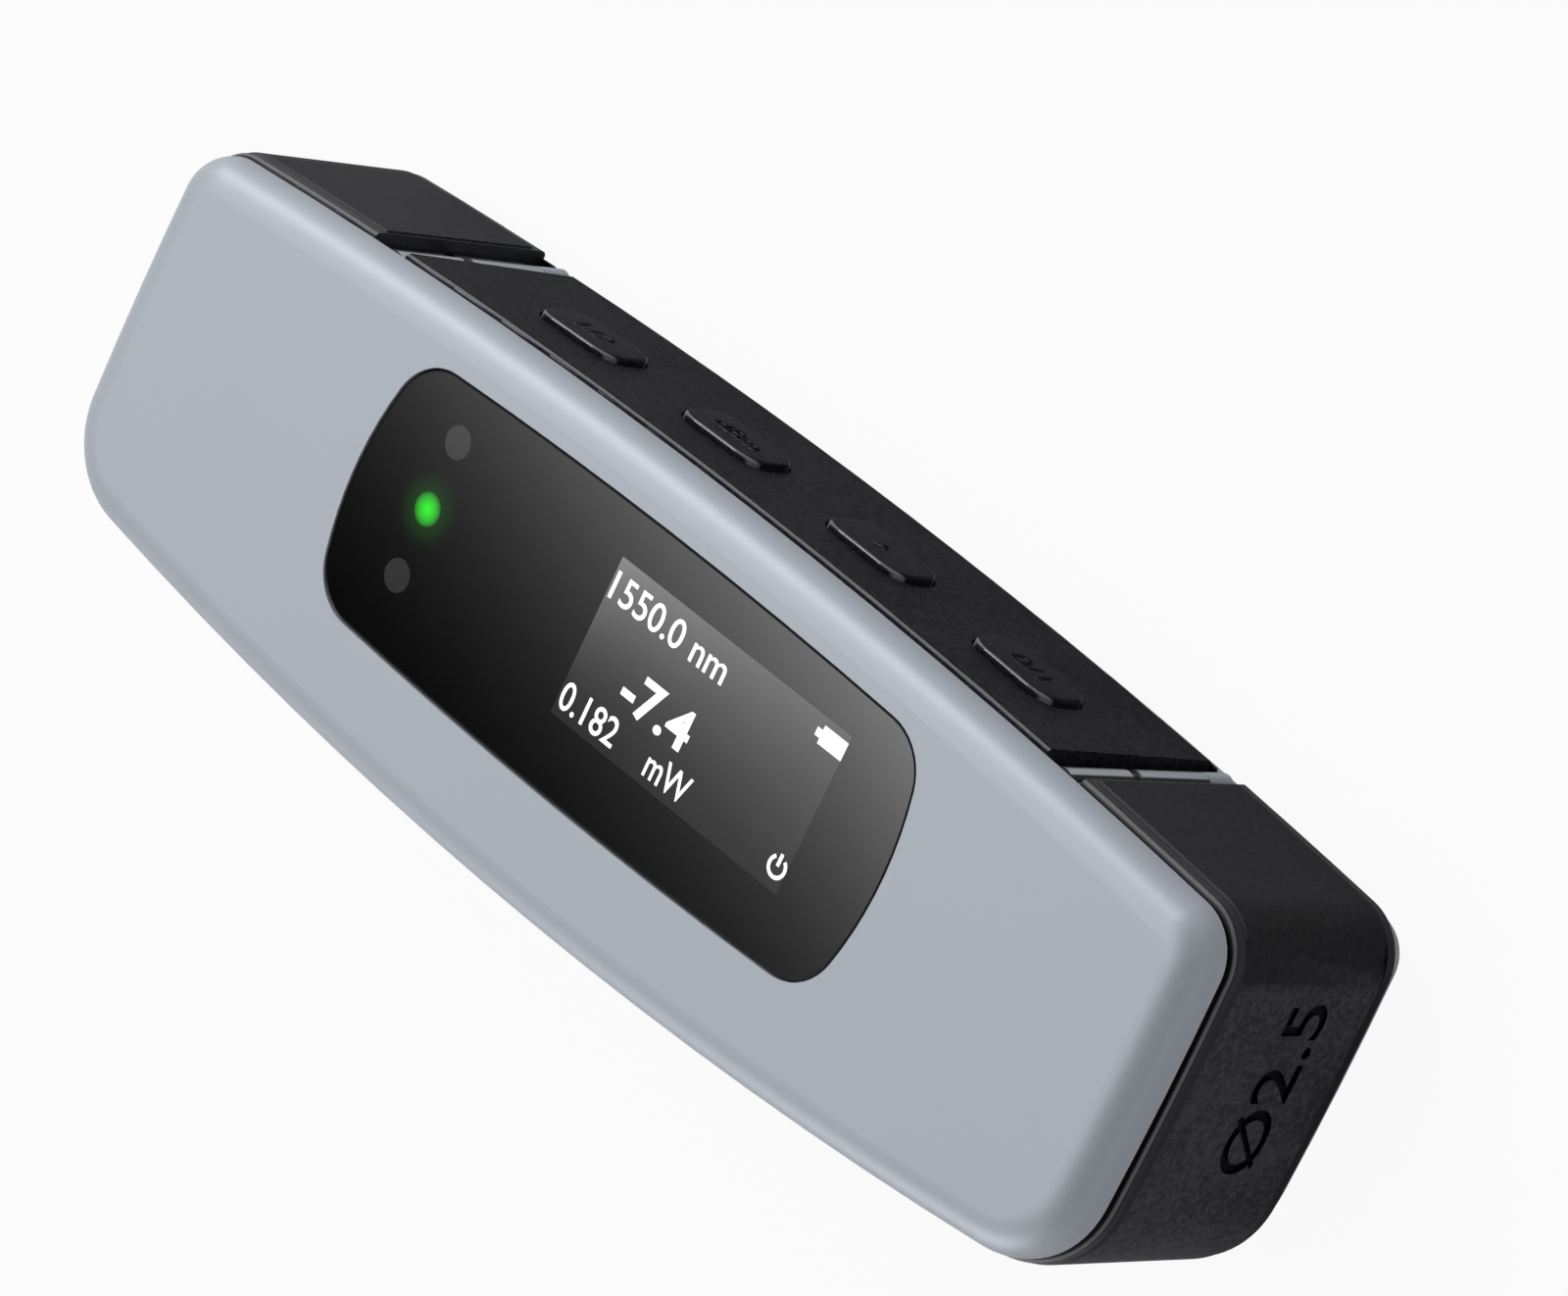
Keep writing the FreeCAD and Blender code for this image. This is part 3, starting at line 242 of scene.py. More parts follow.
class Shader(NodeTree):
    """One material's node tree, ending in a Principled surface."""

    def __init__(self, name: str) -> None:
        """Make an empty material of this name."""
        self.material = bpy.data.materials.new(name)
        self.material.use_nodes = True
        super().__init__(self.material.node_tree)
        self._place: Value | None = None

    @property
    def place(self) -> Value:
        """Object coordinates in millimetres."""
        if self._place is None:
            metres_place = self.node("TexCoord", output="Object")
            self._place = self.node("VectorMath", {"operation": "SCALE"}, {0: metres_place, 3: 1 / MM})
        return self._place

    def axis(self, letter: str) -> Value:
        """One coordinate, in millimetres."""
        return self.part(self.place, letter)

    def facing(self, letter: str) -> Value:
        """One part of the true surface direction, from -1 to 1."""
        return self.part(self.node("NewGeometry", output="Normal"), letter)

    def away(self, middle: Pair, both_sides: bool = False) -> Value:
        """Distance from an upright line through a point of the plan, in millimetres.

        Args:
            middle: The point.
            both_sides: Whether the same line on the left counts too.

        Returns:
            The distance.
        """
        x = abs(self.axis("X")) if both_sides else self.axis("X")
        across, upward = x - middle[0], self.axis("Y") - middle[1]
        return (across * across + upward * upward) ** 0.5

    def rounding(self, edge: Edge) -> Value:
        """One where a surface turns from the front to a side, and nought on both of these.

        Args:
            edge: How far the surface faces the front where this starts, is full, fades and ends.

        Returns:
            The share.
        """
        start, full, fade, end = edge
        front = abs(self.facing("Z"))
        return front.ramp(start, full) * (1 - front.ramp(fade, end))

    def dots(self, pitch: float) -> tuple[Value, Value]:
        """Distance from the middle of a dot along X and along Y, on a grid of this pitch."""
        return tuple(abs(self.axis(letter) % pitch - pitch / 2) for letter in "XY")

    def noise(
        self, per_mm: float, detail: float = 2.0, roughness: float = 0.5, stretch: Triple | None = None
    ) -> Value:
        """Cloudy noise from 0 to 1.

        Args:
            per_mm: Blotches per millimetre.
            detail: How many finer layers are added.
            roughness: How strong the finer layers are.
            stretch: Factors on each axis, for a pattern that runs one way.

        Returns:
            The noise.
        """
        where = self.place
        if stretch is not None:
            where = self.node("VectorMath", {"operation": "MULTIPLY"}, {0: where, 1: stretch})
        sockets = {"Vector": where, "Scale": per_mm, "Detail": detail, "Roughness": roughness}
        return self.node("TexNoise", sockets=sockets)

    def cells(self, per_mm: float, randomness: float = 1.0) -> Value:
        """Distance from the nearest of many scattered points."""
        sockets = {"Vector": self.place, "Scale": per_mm, "Randomness": randomness}
        return self.node("TexVoronoi", sockets=sockets)

    def tones(self, pattern: Value, color: Color, low: float, high: float) -> Value:
        """A colour, times one factor where a pattern is nought and another where it is one."""
        return self.blend(pattern, times(color, low), times(color, high))

    def bump(self, height: Value, depth: float, strength: float = 0.6) -> Value:
        """Surface direction from a height pattern of 0 to 1 and its depth in millimetres."""
        return self.node("Bump", sockets={"Height": height, "Distance": depth * MM, "Strength": strength})

    def surface(self, **sockets: object) -> Material:
        """End the tree in a Principled surface.

        Args:
            **sockets: Its sockets, with underscores for the blanks in their names.

        Returns:
            The finished material.
        """
        principled = self.tree.nodes.new("ShaderNodeBsdfPrincipled")
        for name, given in sockets.items():
            self.feed(principled.inputs[name.replace("_", " ")], given)
        end = self.tree.nodes.new("ShaderNodeOutputMaterial")
        self.tree.links.new(principled.outputs[0], end.inputs[0])
        return self.material


class Finish:
    """What every finish can do: make its material once and lay it on pieces."""

    name: str

    def material(self) -> Material:
        """Build the material, or fetch it where it is built already."""
        found = bpy.data.materials.get(self.name)
        return found if found is not None else self.build(Shader(self.name))

    def build(self, shader: Shader) -> Material:
        """Fill the shader's tree. Each finish has its own."""
        raise NotImplementedError

    def dress(self, piece: Piece) -> None:
        """Lay this finish on all of a piece."""
        if not piece.material_slots:
            piece.data.materials.append(None)
        for slot in piece.material_slots:
            slot.material = self.material()


@dataclass(frozen=True)
class SatinShell(Finish):
    """Satin metallic paint on the shells: a very fine grain, with edges a little worn."""

    name: str = "satin_shell"
    color: Color = srgb(166, 173, 181)
    roughness: float = 0.5
    metallic: float = 0.2
    grain_per_mm: float = 11.0
    grain_depth: float = 0.004
    clouds_per_mm: float = 0.06
    flakes_per_mm: float = 16.0
    worn_edge: Edge = (0.25, 0.6, 0.75, 0.98)

    def build(self, shader: Shader) -> Material:
        """Paint with metal flake, slow clouding and smoother, lighter edges."""
        grain = shader.noise(self.grain_per_mm, detail=3.0)
        clouds = shader.noise(self.clouds_per_mm, detail=3.0)
        edge = shader.rounding(self.worn_edge)
        tone = clouds * 0.5 + shader.cells(self.flakes_per_mm) * 0.2 + edge * 0.35
        return shader.surface(
            Base_Color=shader.tones(tone.at_most(1.0), self.color, 0.97, 1.06),
            Roughness=varied(self.roughness, (clouds, 0.06), (grain, 0.05)) - edge * 0.04,
            Metallic=self.metallic,
            Normal=shader.bump(grain, self.grain_depth),
        )


@dataclass(frozen=True)
class GrainedRubber(Finish):
    """Soft black skin with a fine leather-like grain, smoother along its front edges, which carry a painted
    highlight.
    """

    name: str
    color: Color = srgb(8, 8, 10)
    worn_color: Color = srgb(38, 38, 42)
    # Paler colour that paints the highlight on the front edges.
    highlight_color: Color = srgb(112, 112, 117)
    roughness: float = 0.55
    grain_per_mm: float = 3.2
    grain_depth: float = 0.04
    pits_per_grain: float = 3.5
    mottle_per_grain: float = 0.8
    specular: float = 0.06
    # Painted shade on the key side: how much of it, and how dark it goes.
    painted_shade_side: float = 0.0
    painted_shade_tone: float = 0.18

    def build(self, shader: Shader) -> Material:
        """Pebbled cells with fine pits between them, and a little dust on the crowns.

        The key side can be painted darker than the ends, as painted shade, and the front edges paler, as
        painted highlight.
        """
        pebbles = shader.cells(self.grain_per_mm)
        pits = shader.noise(self.grain_per_mm * self.pits_per_grain)
        mottle = shader.noise(self.grain_per_mm * self.mottle_per_grain, detail=4.0, roughness=0.7)
        clouds = shader.noise(0.12, detail=3.0)
        height = pebbles * 0.4 + mottle * 0.3 + pits * 0.3
        tone = (clouds * 0.2 + mottle * 0.6 + pits * 0.2).ramp(0.4, 0.6)
        # Painted highlight: a paler colour on the rounded front edges.
        edge = shader.rounding(PAINTED_HIGHLIGHT_EDGE) * (0.7 + mottle * 0.6)
        dusty = shader.blend(tone, self.color, self.worn_color)
        # Painted shade: darker where the skin faces the key side.
        shaded = shader.facing("Y").ramp(0.15, 0.4) * self.painted_shade_side
        flat = shader.blend(shaded, dusty, times(self.color, self.painted_shade_tone))
        return shader.surface(
            Base_Color=shader.blend(edge.at_most(1.0), flat, self.highlight_color),
            Roughness=varied(self.roughness, (pits, 0.12), (clouds, 0.08)) - edge * 0.18,
            Specular_IOR_Level=self.specular,
            Normal=shader.bump(height, self.grain_depth),
        )


@dataclass(frozen=True)
class MouldedPlastic(Finish):
    """Moulded plastic with a faint spark-eroded grain."""

    name: str
    color: Color
    roughness: float = 0.45
    grain_per_mm: float = 8.0
    grain_depth: float = 0.006
    specular: float = 0.4

    def build(self, shader: Shader) -> Material:
        """Fine grain, flow clouds and a slight change of gloss."""
        grain = shader.noise(self.grain_per_mm, detail=3.0, roughness=0.6)
        clouds = shader.noise(0.15, detail=4.0)
        return shader.surface(
            Base_Color=shader.tones(clouds * 0.7 + grain * 0.3, self.color, 0.88, 1.12),
            Roughness=varied(self.roughness, (clouds, 0.12), (grain, 0.06)),
            Specular_IOR_Level=self.specular,
            Normal=shader.bump(grain, self.grain_depth),
        )


@dataclass(frozen=True)
class CoverPlastic(Finish):
    """Black moulded plastic of the covers, with satin metal plate on the barrels of their hinges."""

    name: str = "cover_black"
    color: Color = srgb(22, 22, 25)
    # Paler colour that paints the highlight on the edges.
    highlight_color: Color = srgb(104, 104, 109)
    barrel_color: Color = srgb(198, 200, 206)
    roughness: float = 0.4
    barrel_roughness: float = 0.3
    grain_depth: float = 0.005
    specular: float = 0.3
    hinge: Pair = (32.1, 13.34)
    barrel_radius: float = 1.5
    barrel_fade: float = 0.08

    def build(self, shader: Shader) -> Material:
        """Fine grain, a paler colour on the edges as a painted highlight, and plated barrels with drawn
        lines.
        """
        grain = shader.noise(8.0, detail=3.0, roughness=0.6)
        drawn = shader.noise(14.0, stretch=(1.0, 1.0, 0.05))
        away = shader.away(self.hinge, both_sides=True)
        hidden = (shader.axis("X") > 0) * shader.facing("X").ramp(0.45, 0.6)
        barrel = (1 - away.ramp(self.barrel_radius, self.barrel_radius + self.barrel_fade)) * (1 - hidden)
        # Painted highlight: a paler colour on the rounded front edges.
        edge = shader.rounding(PAINTED_HIGHLIGHT_EDGE) * (0.6 + grain * 0.8)
        plain = shader.tones(grain, self.color, 0.85, 1.15)
        black = shader.blend(edge.at_most(1.0), plain, self.highlight_color)
        plate = shader.tones(drawn, self.barrel_color, 0.9, 1.1)
        plain_roughness = varied(self.roughness, (grain, 0.08))
        plate_roughness = varied(self.barrel_roughness, (drawn, 0.1))
        return shader.surface(
            Base_Color=shader.blend(barrel, black, plate),
            Roughness=plain_roughness * (1 - barrel) + plate_roughness * barrel,
            Metallic=barrel,
            Specular_IOR_Level=self.specular,
            Normal=shader.bump(grain, self.grain_depth),
        )


@dataclass(frozen=True)
class BareMetal(Finish):
    """Drawn or turned metal with fine lines along one axis."""

    name: str
    color: Color
    roughness: float = 0.28
    lines: Triple = (0.05, 1.0, 1.0)
    line_depth: float = 0.004

    def build(self, shader: Shader) -> Material:
        """Fine drawn lines with handling marks."""
        drawn = shader.noise(14.0, stretch=self.lines)
        marks = shader.noise(0.8, detail=5.0, roughness=0.65)
        return shader.surface(
            Base_Color=shader.tones(marks, self.color, 0.85, 1.08),
            Roughness=varied(self.roughness, (drawn, 0.18), (marks, 0.15)),
            Metallic=1.0,
            Normal=shader.bump(drawn, self.line_depth),
        )


@dataclass(frozen=True)
class CircuitBoard(Finish):
    """Solder-masked laminate with tracks under the mask."""

    name: str = "circuit_board"
    mask: Color = srgb(18, 74, 44)
    track: Color = srgb(42, 112, 66)
    laminate: Color = srgb(150, 132, 84)
    roughness: float = 0.38
    track_pitch: float = 0.8
    track_half_width: float = 0.13
    field_share: float = 0.45
    depth: float = 0.02

    def build(self, shader: Shader) -> Material:
        """Parallel tracks broken into fields, with bare laminate on the edges."""
        fields = shader.cells(0.22, randomness=0.8) > self.field_share
        along, across = (away < self.track_half_width for away in shader.dots(self.track_pitch))
        tracks = across * fields + along * (1 - fields)
        face = abs(shader.facing("Z")) > 0.5
        weave = shader.noise(6.0)
        return shader.surface(
            Base_Color=shader.blend(face, self.laminate, shader.blend(tracks, self.mask, self.track)),
            Roughness=varied(self.roughness, (weave, 0.1)),
            Normal=shader.bump(tracks * 0.8 + weave * 0.2, self.depth, 0.7),
        )


@dataclass(frozen=True)
class GlossWindow(Finish):
    """Smoked glossy window over black print, with the glow of the lit status lamp."""

    name: str = "gloss_window"
    color: Color = srgb(2, 2, 2)
    roughness: float = 0.05
    glow_color: Color = srgb(12, 58, 12)
    glow_middle: Pair = (0.0, 0.0)
    glow_start: float = 0.6
    glow_radius: float = 3.2
    glow_power: float = 1.6

    def build(self, shader: Shader) -> Material:
        """Near-black gloss with faint wipe marks and a soft ring of light round the lamp."""
        wipes = shader.noise(0.35, detail=5.0, roughness=0.6, stretch=(1.0, 2.5, 1.0))
        dust = shader.noise(9.0)
        away = shader.away(self.glow_middle)
        glow = (1 - away.ramp(self.glow_start, self.glow_radius)) ** self.glow_power
        return shader.surface(
            Base_Color=shader.tones(dust, self.color, 0.6, 1.4),
            Roughness=varied(self.roughness, (wipes, 0.03), (dust, 0.02)),
            Emission_Color=shader.blend(glow, BLACK, self.glow_color),
            Emission_Strength=1.0,
            IOR=WINDOW_IOR,
        )


@dataclass(frozen=True)
class LitLamp(Finish):
    """A lit lamp behind the window, brightest in its middle."""

    name: str = "lit_green"
    color: Color = srgb(40, 240, 38)
    rim_color: Color = srgb(14, 40, 14)
    middle: Pair = (0.0, 0.0)
    radius: float = 1.2
    power: float = 1.5

    def build(self, shader: Shader) -> Material:
        """A soft spot of light that falls off towards its rim."""
        grain = shader.noise(3.0)
        fall = varied((shader.away(self.middle) / self.radius) ** self.power, (grain, 0.06))
        return shader.surface(
            Base_Color=times(self.color, 0.01),
            Roughness=0.08 + grain * 0.05,
            Emission_Color=shader.blend(fall.at_most(1.0).at_least(0.0), self.color, self.rim_color),
            Emission_Strength=1.0,
            IOR=WINDOW_IOR,
        )


@dataclass(frozen=True)
class LitField(Finish):
    """The display's own field: dark grey with a grid of dots, and a painted reflection that brightens it
    towards its upper left.
    """

    name: str = "lit_field"
    color: Color = srgb(4, 4, 4)
    dark: Color = srgb(31, 31, 31)
    light: Color = srgb(35, 35, 35)
    # Colour of the painted reflection at its brightest.
    painted_reflection: Color = srgb(128, 128, 128)
    roughness: float = 0.06
    pitch: float = 0.17
    dot_share: float = 0.38
    middle: Pair = (0.0, 0.0)
    width: float = 20.0
    height: float = 10.0
    upward_power: float = 2.0
    across_power: float = 0.55
    across_loss: float = 0.84

    def build(self, shader: Shader) -> Material:
        """A grid of unlit dots that give a faint light, with a painted reflection over one corner."""
        across, upward = (away < self.pitch * self.dot_share for away in shader.dots(self.pitch))
        haze = shader.noise(0.3, detail=3.0)
        up_share = ((shader.axis("Y") - self.middle[1]) / self.height + 0.5).at_least(0.0)
        right_share = ((shader.axis("X") - self.middle[0]) / self.width + 0.5).at_least(0.0)
        kept = 1 - right_share ** self.across_power * self.across_loss
        # Painted reflection: a glow that grows towards the upper left.
        reflection_share = varied(up_share ** self.upward_power * kept, (haze, 0.02))
        lit = shader.blend(across * upward, self.dark, self.light)
        return shader.surface(
            Base_Color=shader.tones(haze, self.color, 0.8, 1.2),
            Roughness=varied(self.roughness, (haze, 0.04)),
            Emission_Color=shader.blend(reflection_share.at_least(0.0), lit, self.painted_reflection),
            Emission_Strength=1.0,
            IOR=WINDOW_IOR,
        )


@dataclass(frozen=True)
class LitMark(Finish):
    """A lit figure or sign that glows with its own colour, brightest in the middle of its dots."""

    name: str
    color: Color
    pitch: float = 0.17
    dotted: float = 0.12

    def build(self, shader: Shader) -> Material:
        """Glow in fine dots."""
        across, upward = (away * (2 / self.pitch) for away in shader.dots(self.pitch))
        gap = across.at_least(upward).ramp(0.6, 1.0)
        return shader.surface(
            Base_Color=shader.tones(gap, self.color, 0.5, 0.4),
            Roughness=0.12 + gap * 0.1,
            Specular_IOR_Level=0.0,
            Emission_Color=shader.blend(gap * self.dotted, self.color, BLACK),
            Emission_Strength=1.0,
        )


@dataclass(frozen=True)
class ClearMoulding(Finish):
    """Clear moulded plastic, slightly cloudy."""

    name: str
    color: Color = srgb(205, 214, 212)
    alpha: float = 0.55

    def build(self, shader: Shader) -> Material:
        """Cloudy clear plastic with flow marks."""
        clouds = shader.noise(0.9, detail=4.0)
        return shader.surface(
            Base_Color=shader.tones(clouds, self.color, 0.9, 1.05),
            Roughness=0.14 + clouds * 0.12,
            Alpha=varied(self.alpha, (clouds, 0.1)),
        )


@dataclass(frozen=True)
class Foil(Finish):
    """Crinkled laminate foil of the flat cell."""

    name: str = "cell_foil"
    color: Color = srgb(176, 180, 184)
    metallic: float = 0.9
    crease_depth: float = 0.12

    def build(self, shader: Shader) -> Material:
        """Soft creases on a dull metal film."""
        creases = shader.noise(0.5, detail=5.0, roughness=0.6)
        weave = shader.noise(7.0, detail=1.0)
        return shader.surface(
            Base_Color=shader.tones(creases, self.color, 0.85, 1.0),
            Roughness=0.34 + weave * 0.12,
            Metallic=self.metallic,
            Normal=shader.bump(creases * 0.8 + weave * 0.2, self.crease_depth),
        )


def deselect() -> None:
    """Leave edit mode and select nothing."""
    if bpy.context.object is not None and bpy.context.object.mode != "OBJECT":
        bpy.ops.object.mode_set(mode="OBJECT")
    bpy.ops.object.select_all(action="DESELECT")


def take(piece: Piece) -> None:
    """Select one piece alone and make it active."""
    deselect()
    piece.select_set(True)
    bpy.context.view_layer.objects.active = piece


def named(name: str) -> Piece:
    """Name the piece just added, and its mesh."""
    piece = bpy.context.object
    piece.name = name
    piece.data.name = name
    return piece


@contextmanager
def editing(piece: Piece) -> Iterator[None]:
    """Edit a piece, with all of its mesh selected."""
    take(piece)
    bpy.ops.object.mode_set(mode="EDIT")
    bpy.ops.mesh.select_all(action="SELECT")
    yield
    bpy.ops.object.mode_set(mode="OBJECT")


@contextmanager
def editing_faces(piece: Piece, test: Callable[[Face], bool]) -> Iterator[None]:
    """Edit a piece, with the faces that pass a test selected."""
    take(piece)
    bpy.ops.object.mode_set(mode="EDIT")
    bpy.ops.mesh.select_mode(type="FACE")
    bpy.ops.mesh.select_all(action="DESELECT")
    bpy.ops.object.mode_set(mode="OBJECT")
    for face in piece.data.polygons:
        face.select = test(face)
    bpy.ops.object.mode_set(mode="EDIT")
    yield
    bpy.ops.object.mode_set(mode="OBJECT")


def settle(piece: Piece, matrix: Matrix | None = None) -> Piece:
    """Put a piece's place into its mesh, with its object at the origin.

    Args:
        piece: The piece.
        matrix: A further placing of the mesh, where one is needed.

    Returns:
        The same piece.
    """
    deselect()
    bpy.context.view_layer.update()
    piece.data.transform(piece.matrix_world)
    piece.matrix_world = Matrix.Identity(4)
    if matrix is not None:
        piece.data.transform(matrix)
    piece.data.update()
    return piece


def smooth(piece: Piece, degrees: float = 35.0) -> None:
    """Shade smoothly, with edges sharper than an angle kept."""
    take(piece)
    bpy.ops.object.shade_smooth_by_angle(angle=math.radians(degrees))


def modify(piece: Piece, kind: str, **settings: object) -> None:
    """Add one modifier and apply it.

    Args:
        piece: The piece.
        kind: The modifier's type.
        **settings: Its properties.
    """
    take(piece)
    modifier = piece.modifiers.new(kind.lower(), kind)
    for key, setting in settings.items():
        setattr(modifier, key, setting)
    bpy.ops.object.modifier_apply(modifier=modifier.name)


def words(name: str, text: str, capital: float, width: float, bold: float, depth: float) -> Piece:
    """A raised line of figures as a mesh, lying flat with its lower left corner at the origin.

    Args:
        name: The piece's name.
        text: The figures.
        capital: Height of a capital in millimetres.
        width: Width of the whole line in millimetres.
        bold: How far the strokes are thickened, in millimetres.
        depth: Thickness of the figures, in millimetres.

    Returns:
        The mesh piece.
    """
    deselect()
    bpy.ops.object.text_add()
    piece = named(name)
    line = piece.data
    line.body = text
    line.size = capital / CAPITAL_SHARE * MM
    line.offset = bold * MM
    line.extrude = depth / 2 * MM
    line.resolution_u = 6
    take(piece)
    bpy.ops.object.convert(target="MESH")
    piece = named(name)
    with editing(piece):
        bpy.ops.mesh.remove_doubles(threshold=WORD_MERGE * MM)
        bpy.ops.mesh.normals_make_consistent(inside=False)
    across = [vertex.co.x for vertex in piece.data.vertices]
    squeeze = width * MM / (max(across) - min(across))
    lift = Matrix.Translation(Vector((-min(across) * squeeze, 0, depth / 2 * MM)))
    return settle(piece, lift @ Matrix.Diagonal((squeeze, 1.0, 1.0, 1.0)))


def to_centre(piece: Piece) -> None:
    """Bring the middle of a flat piece to the origin, its underside kept."""
    corners = [vertex.co for vertex in piece.data.vertices]
    middle = [(min(c[axis] for c in corners) + max(c[axis] for c in corners)) / 2 for axis in (0, 1)]
    piece.data.transform(Matrix.Translation((-middle[0], -middle[1], 0)))


def copy_of(node: str, name: str) -> Piece:
    """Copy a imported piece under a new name, its loose triangles merged.

    Args:
        node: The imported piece.
        name: Name of the copy.

    Returns:
        The copy, ready to be worked on.
    """
    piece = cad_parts[node].copy()
    piece.data = piece.data.copy()
    piece.name = name
    piece.data.name = name
    piece.parent = None
    for key in list(piece.keys()):
        del piece[key]
    bpy.context.scene.collection.objects.link(piece)
    take(piece)
    bpy.ops.mesh.customdata_custom_splitnormals_clear()
    with editing(piece):
        bpy.ops.mesh.remove_doubles(threshold=COPY_MERGE * MM)
    return piece


def cut(piece: Piece, cutter: Piece) -> None:
    """Cut one piece with another, which is used up, and even out the shading round the cut."""
    modify(piece, "BOOLEAN", operation="DIFFERENCE", object=cutter, solver="EXACT")
    bpy.data.objects.remove(cutter)
    smooth(piece, CUT_ANGLE)
    modify(piece, "WEIGHTED_NORMAL", mode="FACE_AREA", weight=CUT_WEIGHT, keep_sharp=True)


def plane_off(piece: Piece, place: Vector, outward: Vector) -> None:
    """Take off what stands beyond a plane through a place, in metres, and close the cut."""
    with editing(piece):
        bpy.ops.mesh.bisect(plane_co=place, plane_no=outward, use_fill=True, clear_outer=True)


def join(first: Piece, *others: Piece) -> Piece:
    """Join pieces into the first of them."""
    take(first)
    for other in others:
        other.select_set(True)
    bpy.ops.object.join()
    return first


@dataclass
class Camera:
    """The viewpoint of the photograph, held in the object's own frame.

    Angles are in degrees and lengths in millimetres, but for the clipping, in metres. The origin
    is the point that the camera turns round before its slide.
    """

    azimuth: float = 36.213
    elevation: float = 17.589
    roll: float = 25.626
    distance: float = 475.5
    slide_right: float = -11.849
    slide_up: float = -3.352
    focal_pixels: float = 7794.0
    sensor: float = 36.0
    origin: Triple = (0.62, -0.16, 22.7)
    clipping: Pair = (0.01, 20.0)

    def build(self) -> None:
        """Make the camera and let the scene use it."""
        azimuth, elevation, roll = (math.radians(a) for a in (self.azimuth, self.elevation, self.roll))
        outward = Vector((
            math.sin(azimuth) * math.cos(elevation),
            math.sin(elevation),
            math.cos(azimuth) * math.cos(elevation),
        ))
        level = Vector((0, 1, 0)).cross(outward).normalized()
        upright = outward.cross(level)
        right = math.cos(roll) * level + math.sin(roll) * upright
        upward = -math.sin(roll) * level + math.cos(roll) * upright
        slide = self.slide_right * right, self.slide_up * upward
        place = Vector(self.origin) - slide[0] - slide[1] + self.distance * outward
        data = bpy.data.cameras.new("photo_camera")
        data.sensor_fit = "HORIZONTAL"
        data.sensor_width = self.sensor
        data.lens = self.focal_pixels * self.sensor / IMAGE_WIDTH
        data.clip_start, data.clip_end = self.clipping
        camera = bpy.data.objects.new("photo_camera", data)
        bpy.context.scene.collection.objects.link(camera)
        turn = Matrix((right, upward, outward)).transposed().to_4x4()
        camera.matrix_world = Matrix.Translation(place * MM) @ turn
        bpy.context.scene.camera = camera


@dataclass(frozen=True)
class Panel:
    """A square lamp panel: its name, size in metres, brightness where 1 is white, and place in metres.

    One that isn't mirrored lights surfaces without a highlight of its own.
    """

    name: str
    size: float
    brightness: float
    place: Triple
    mirrored: bool = True


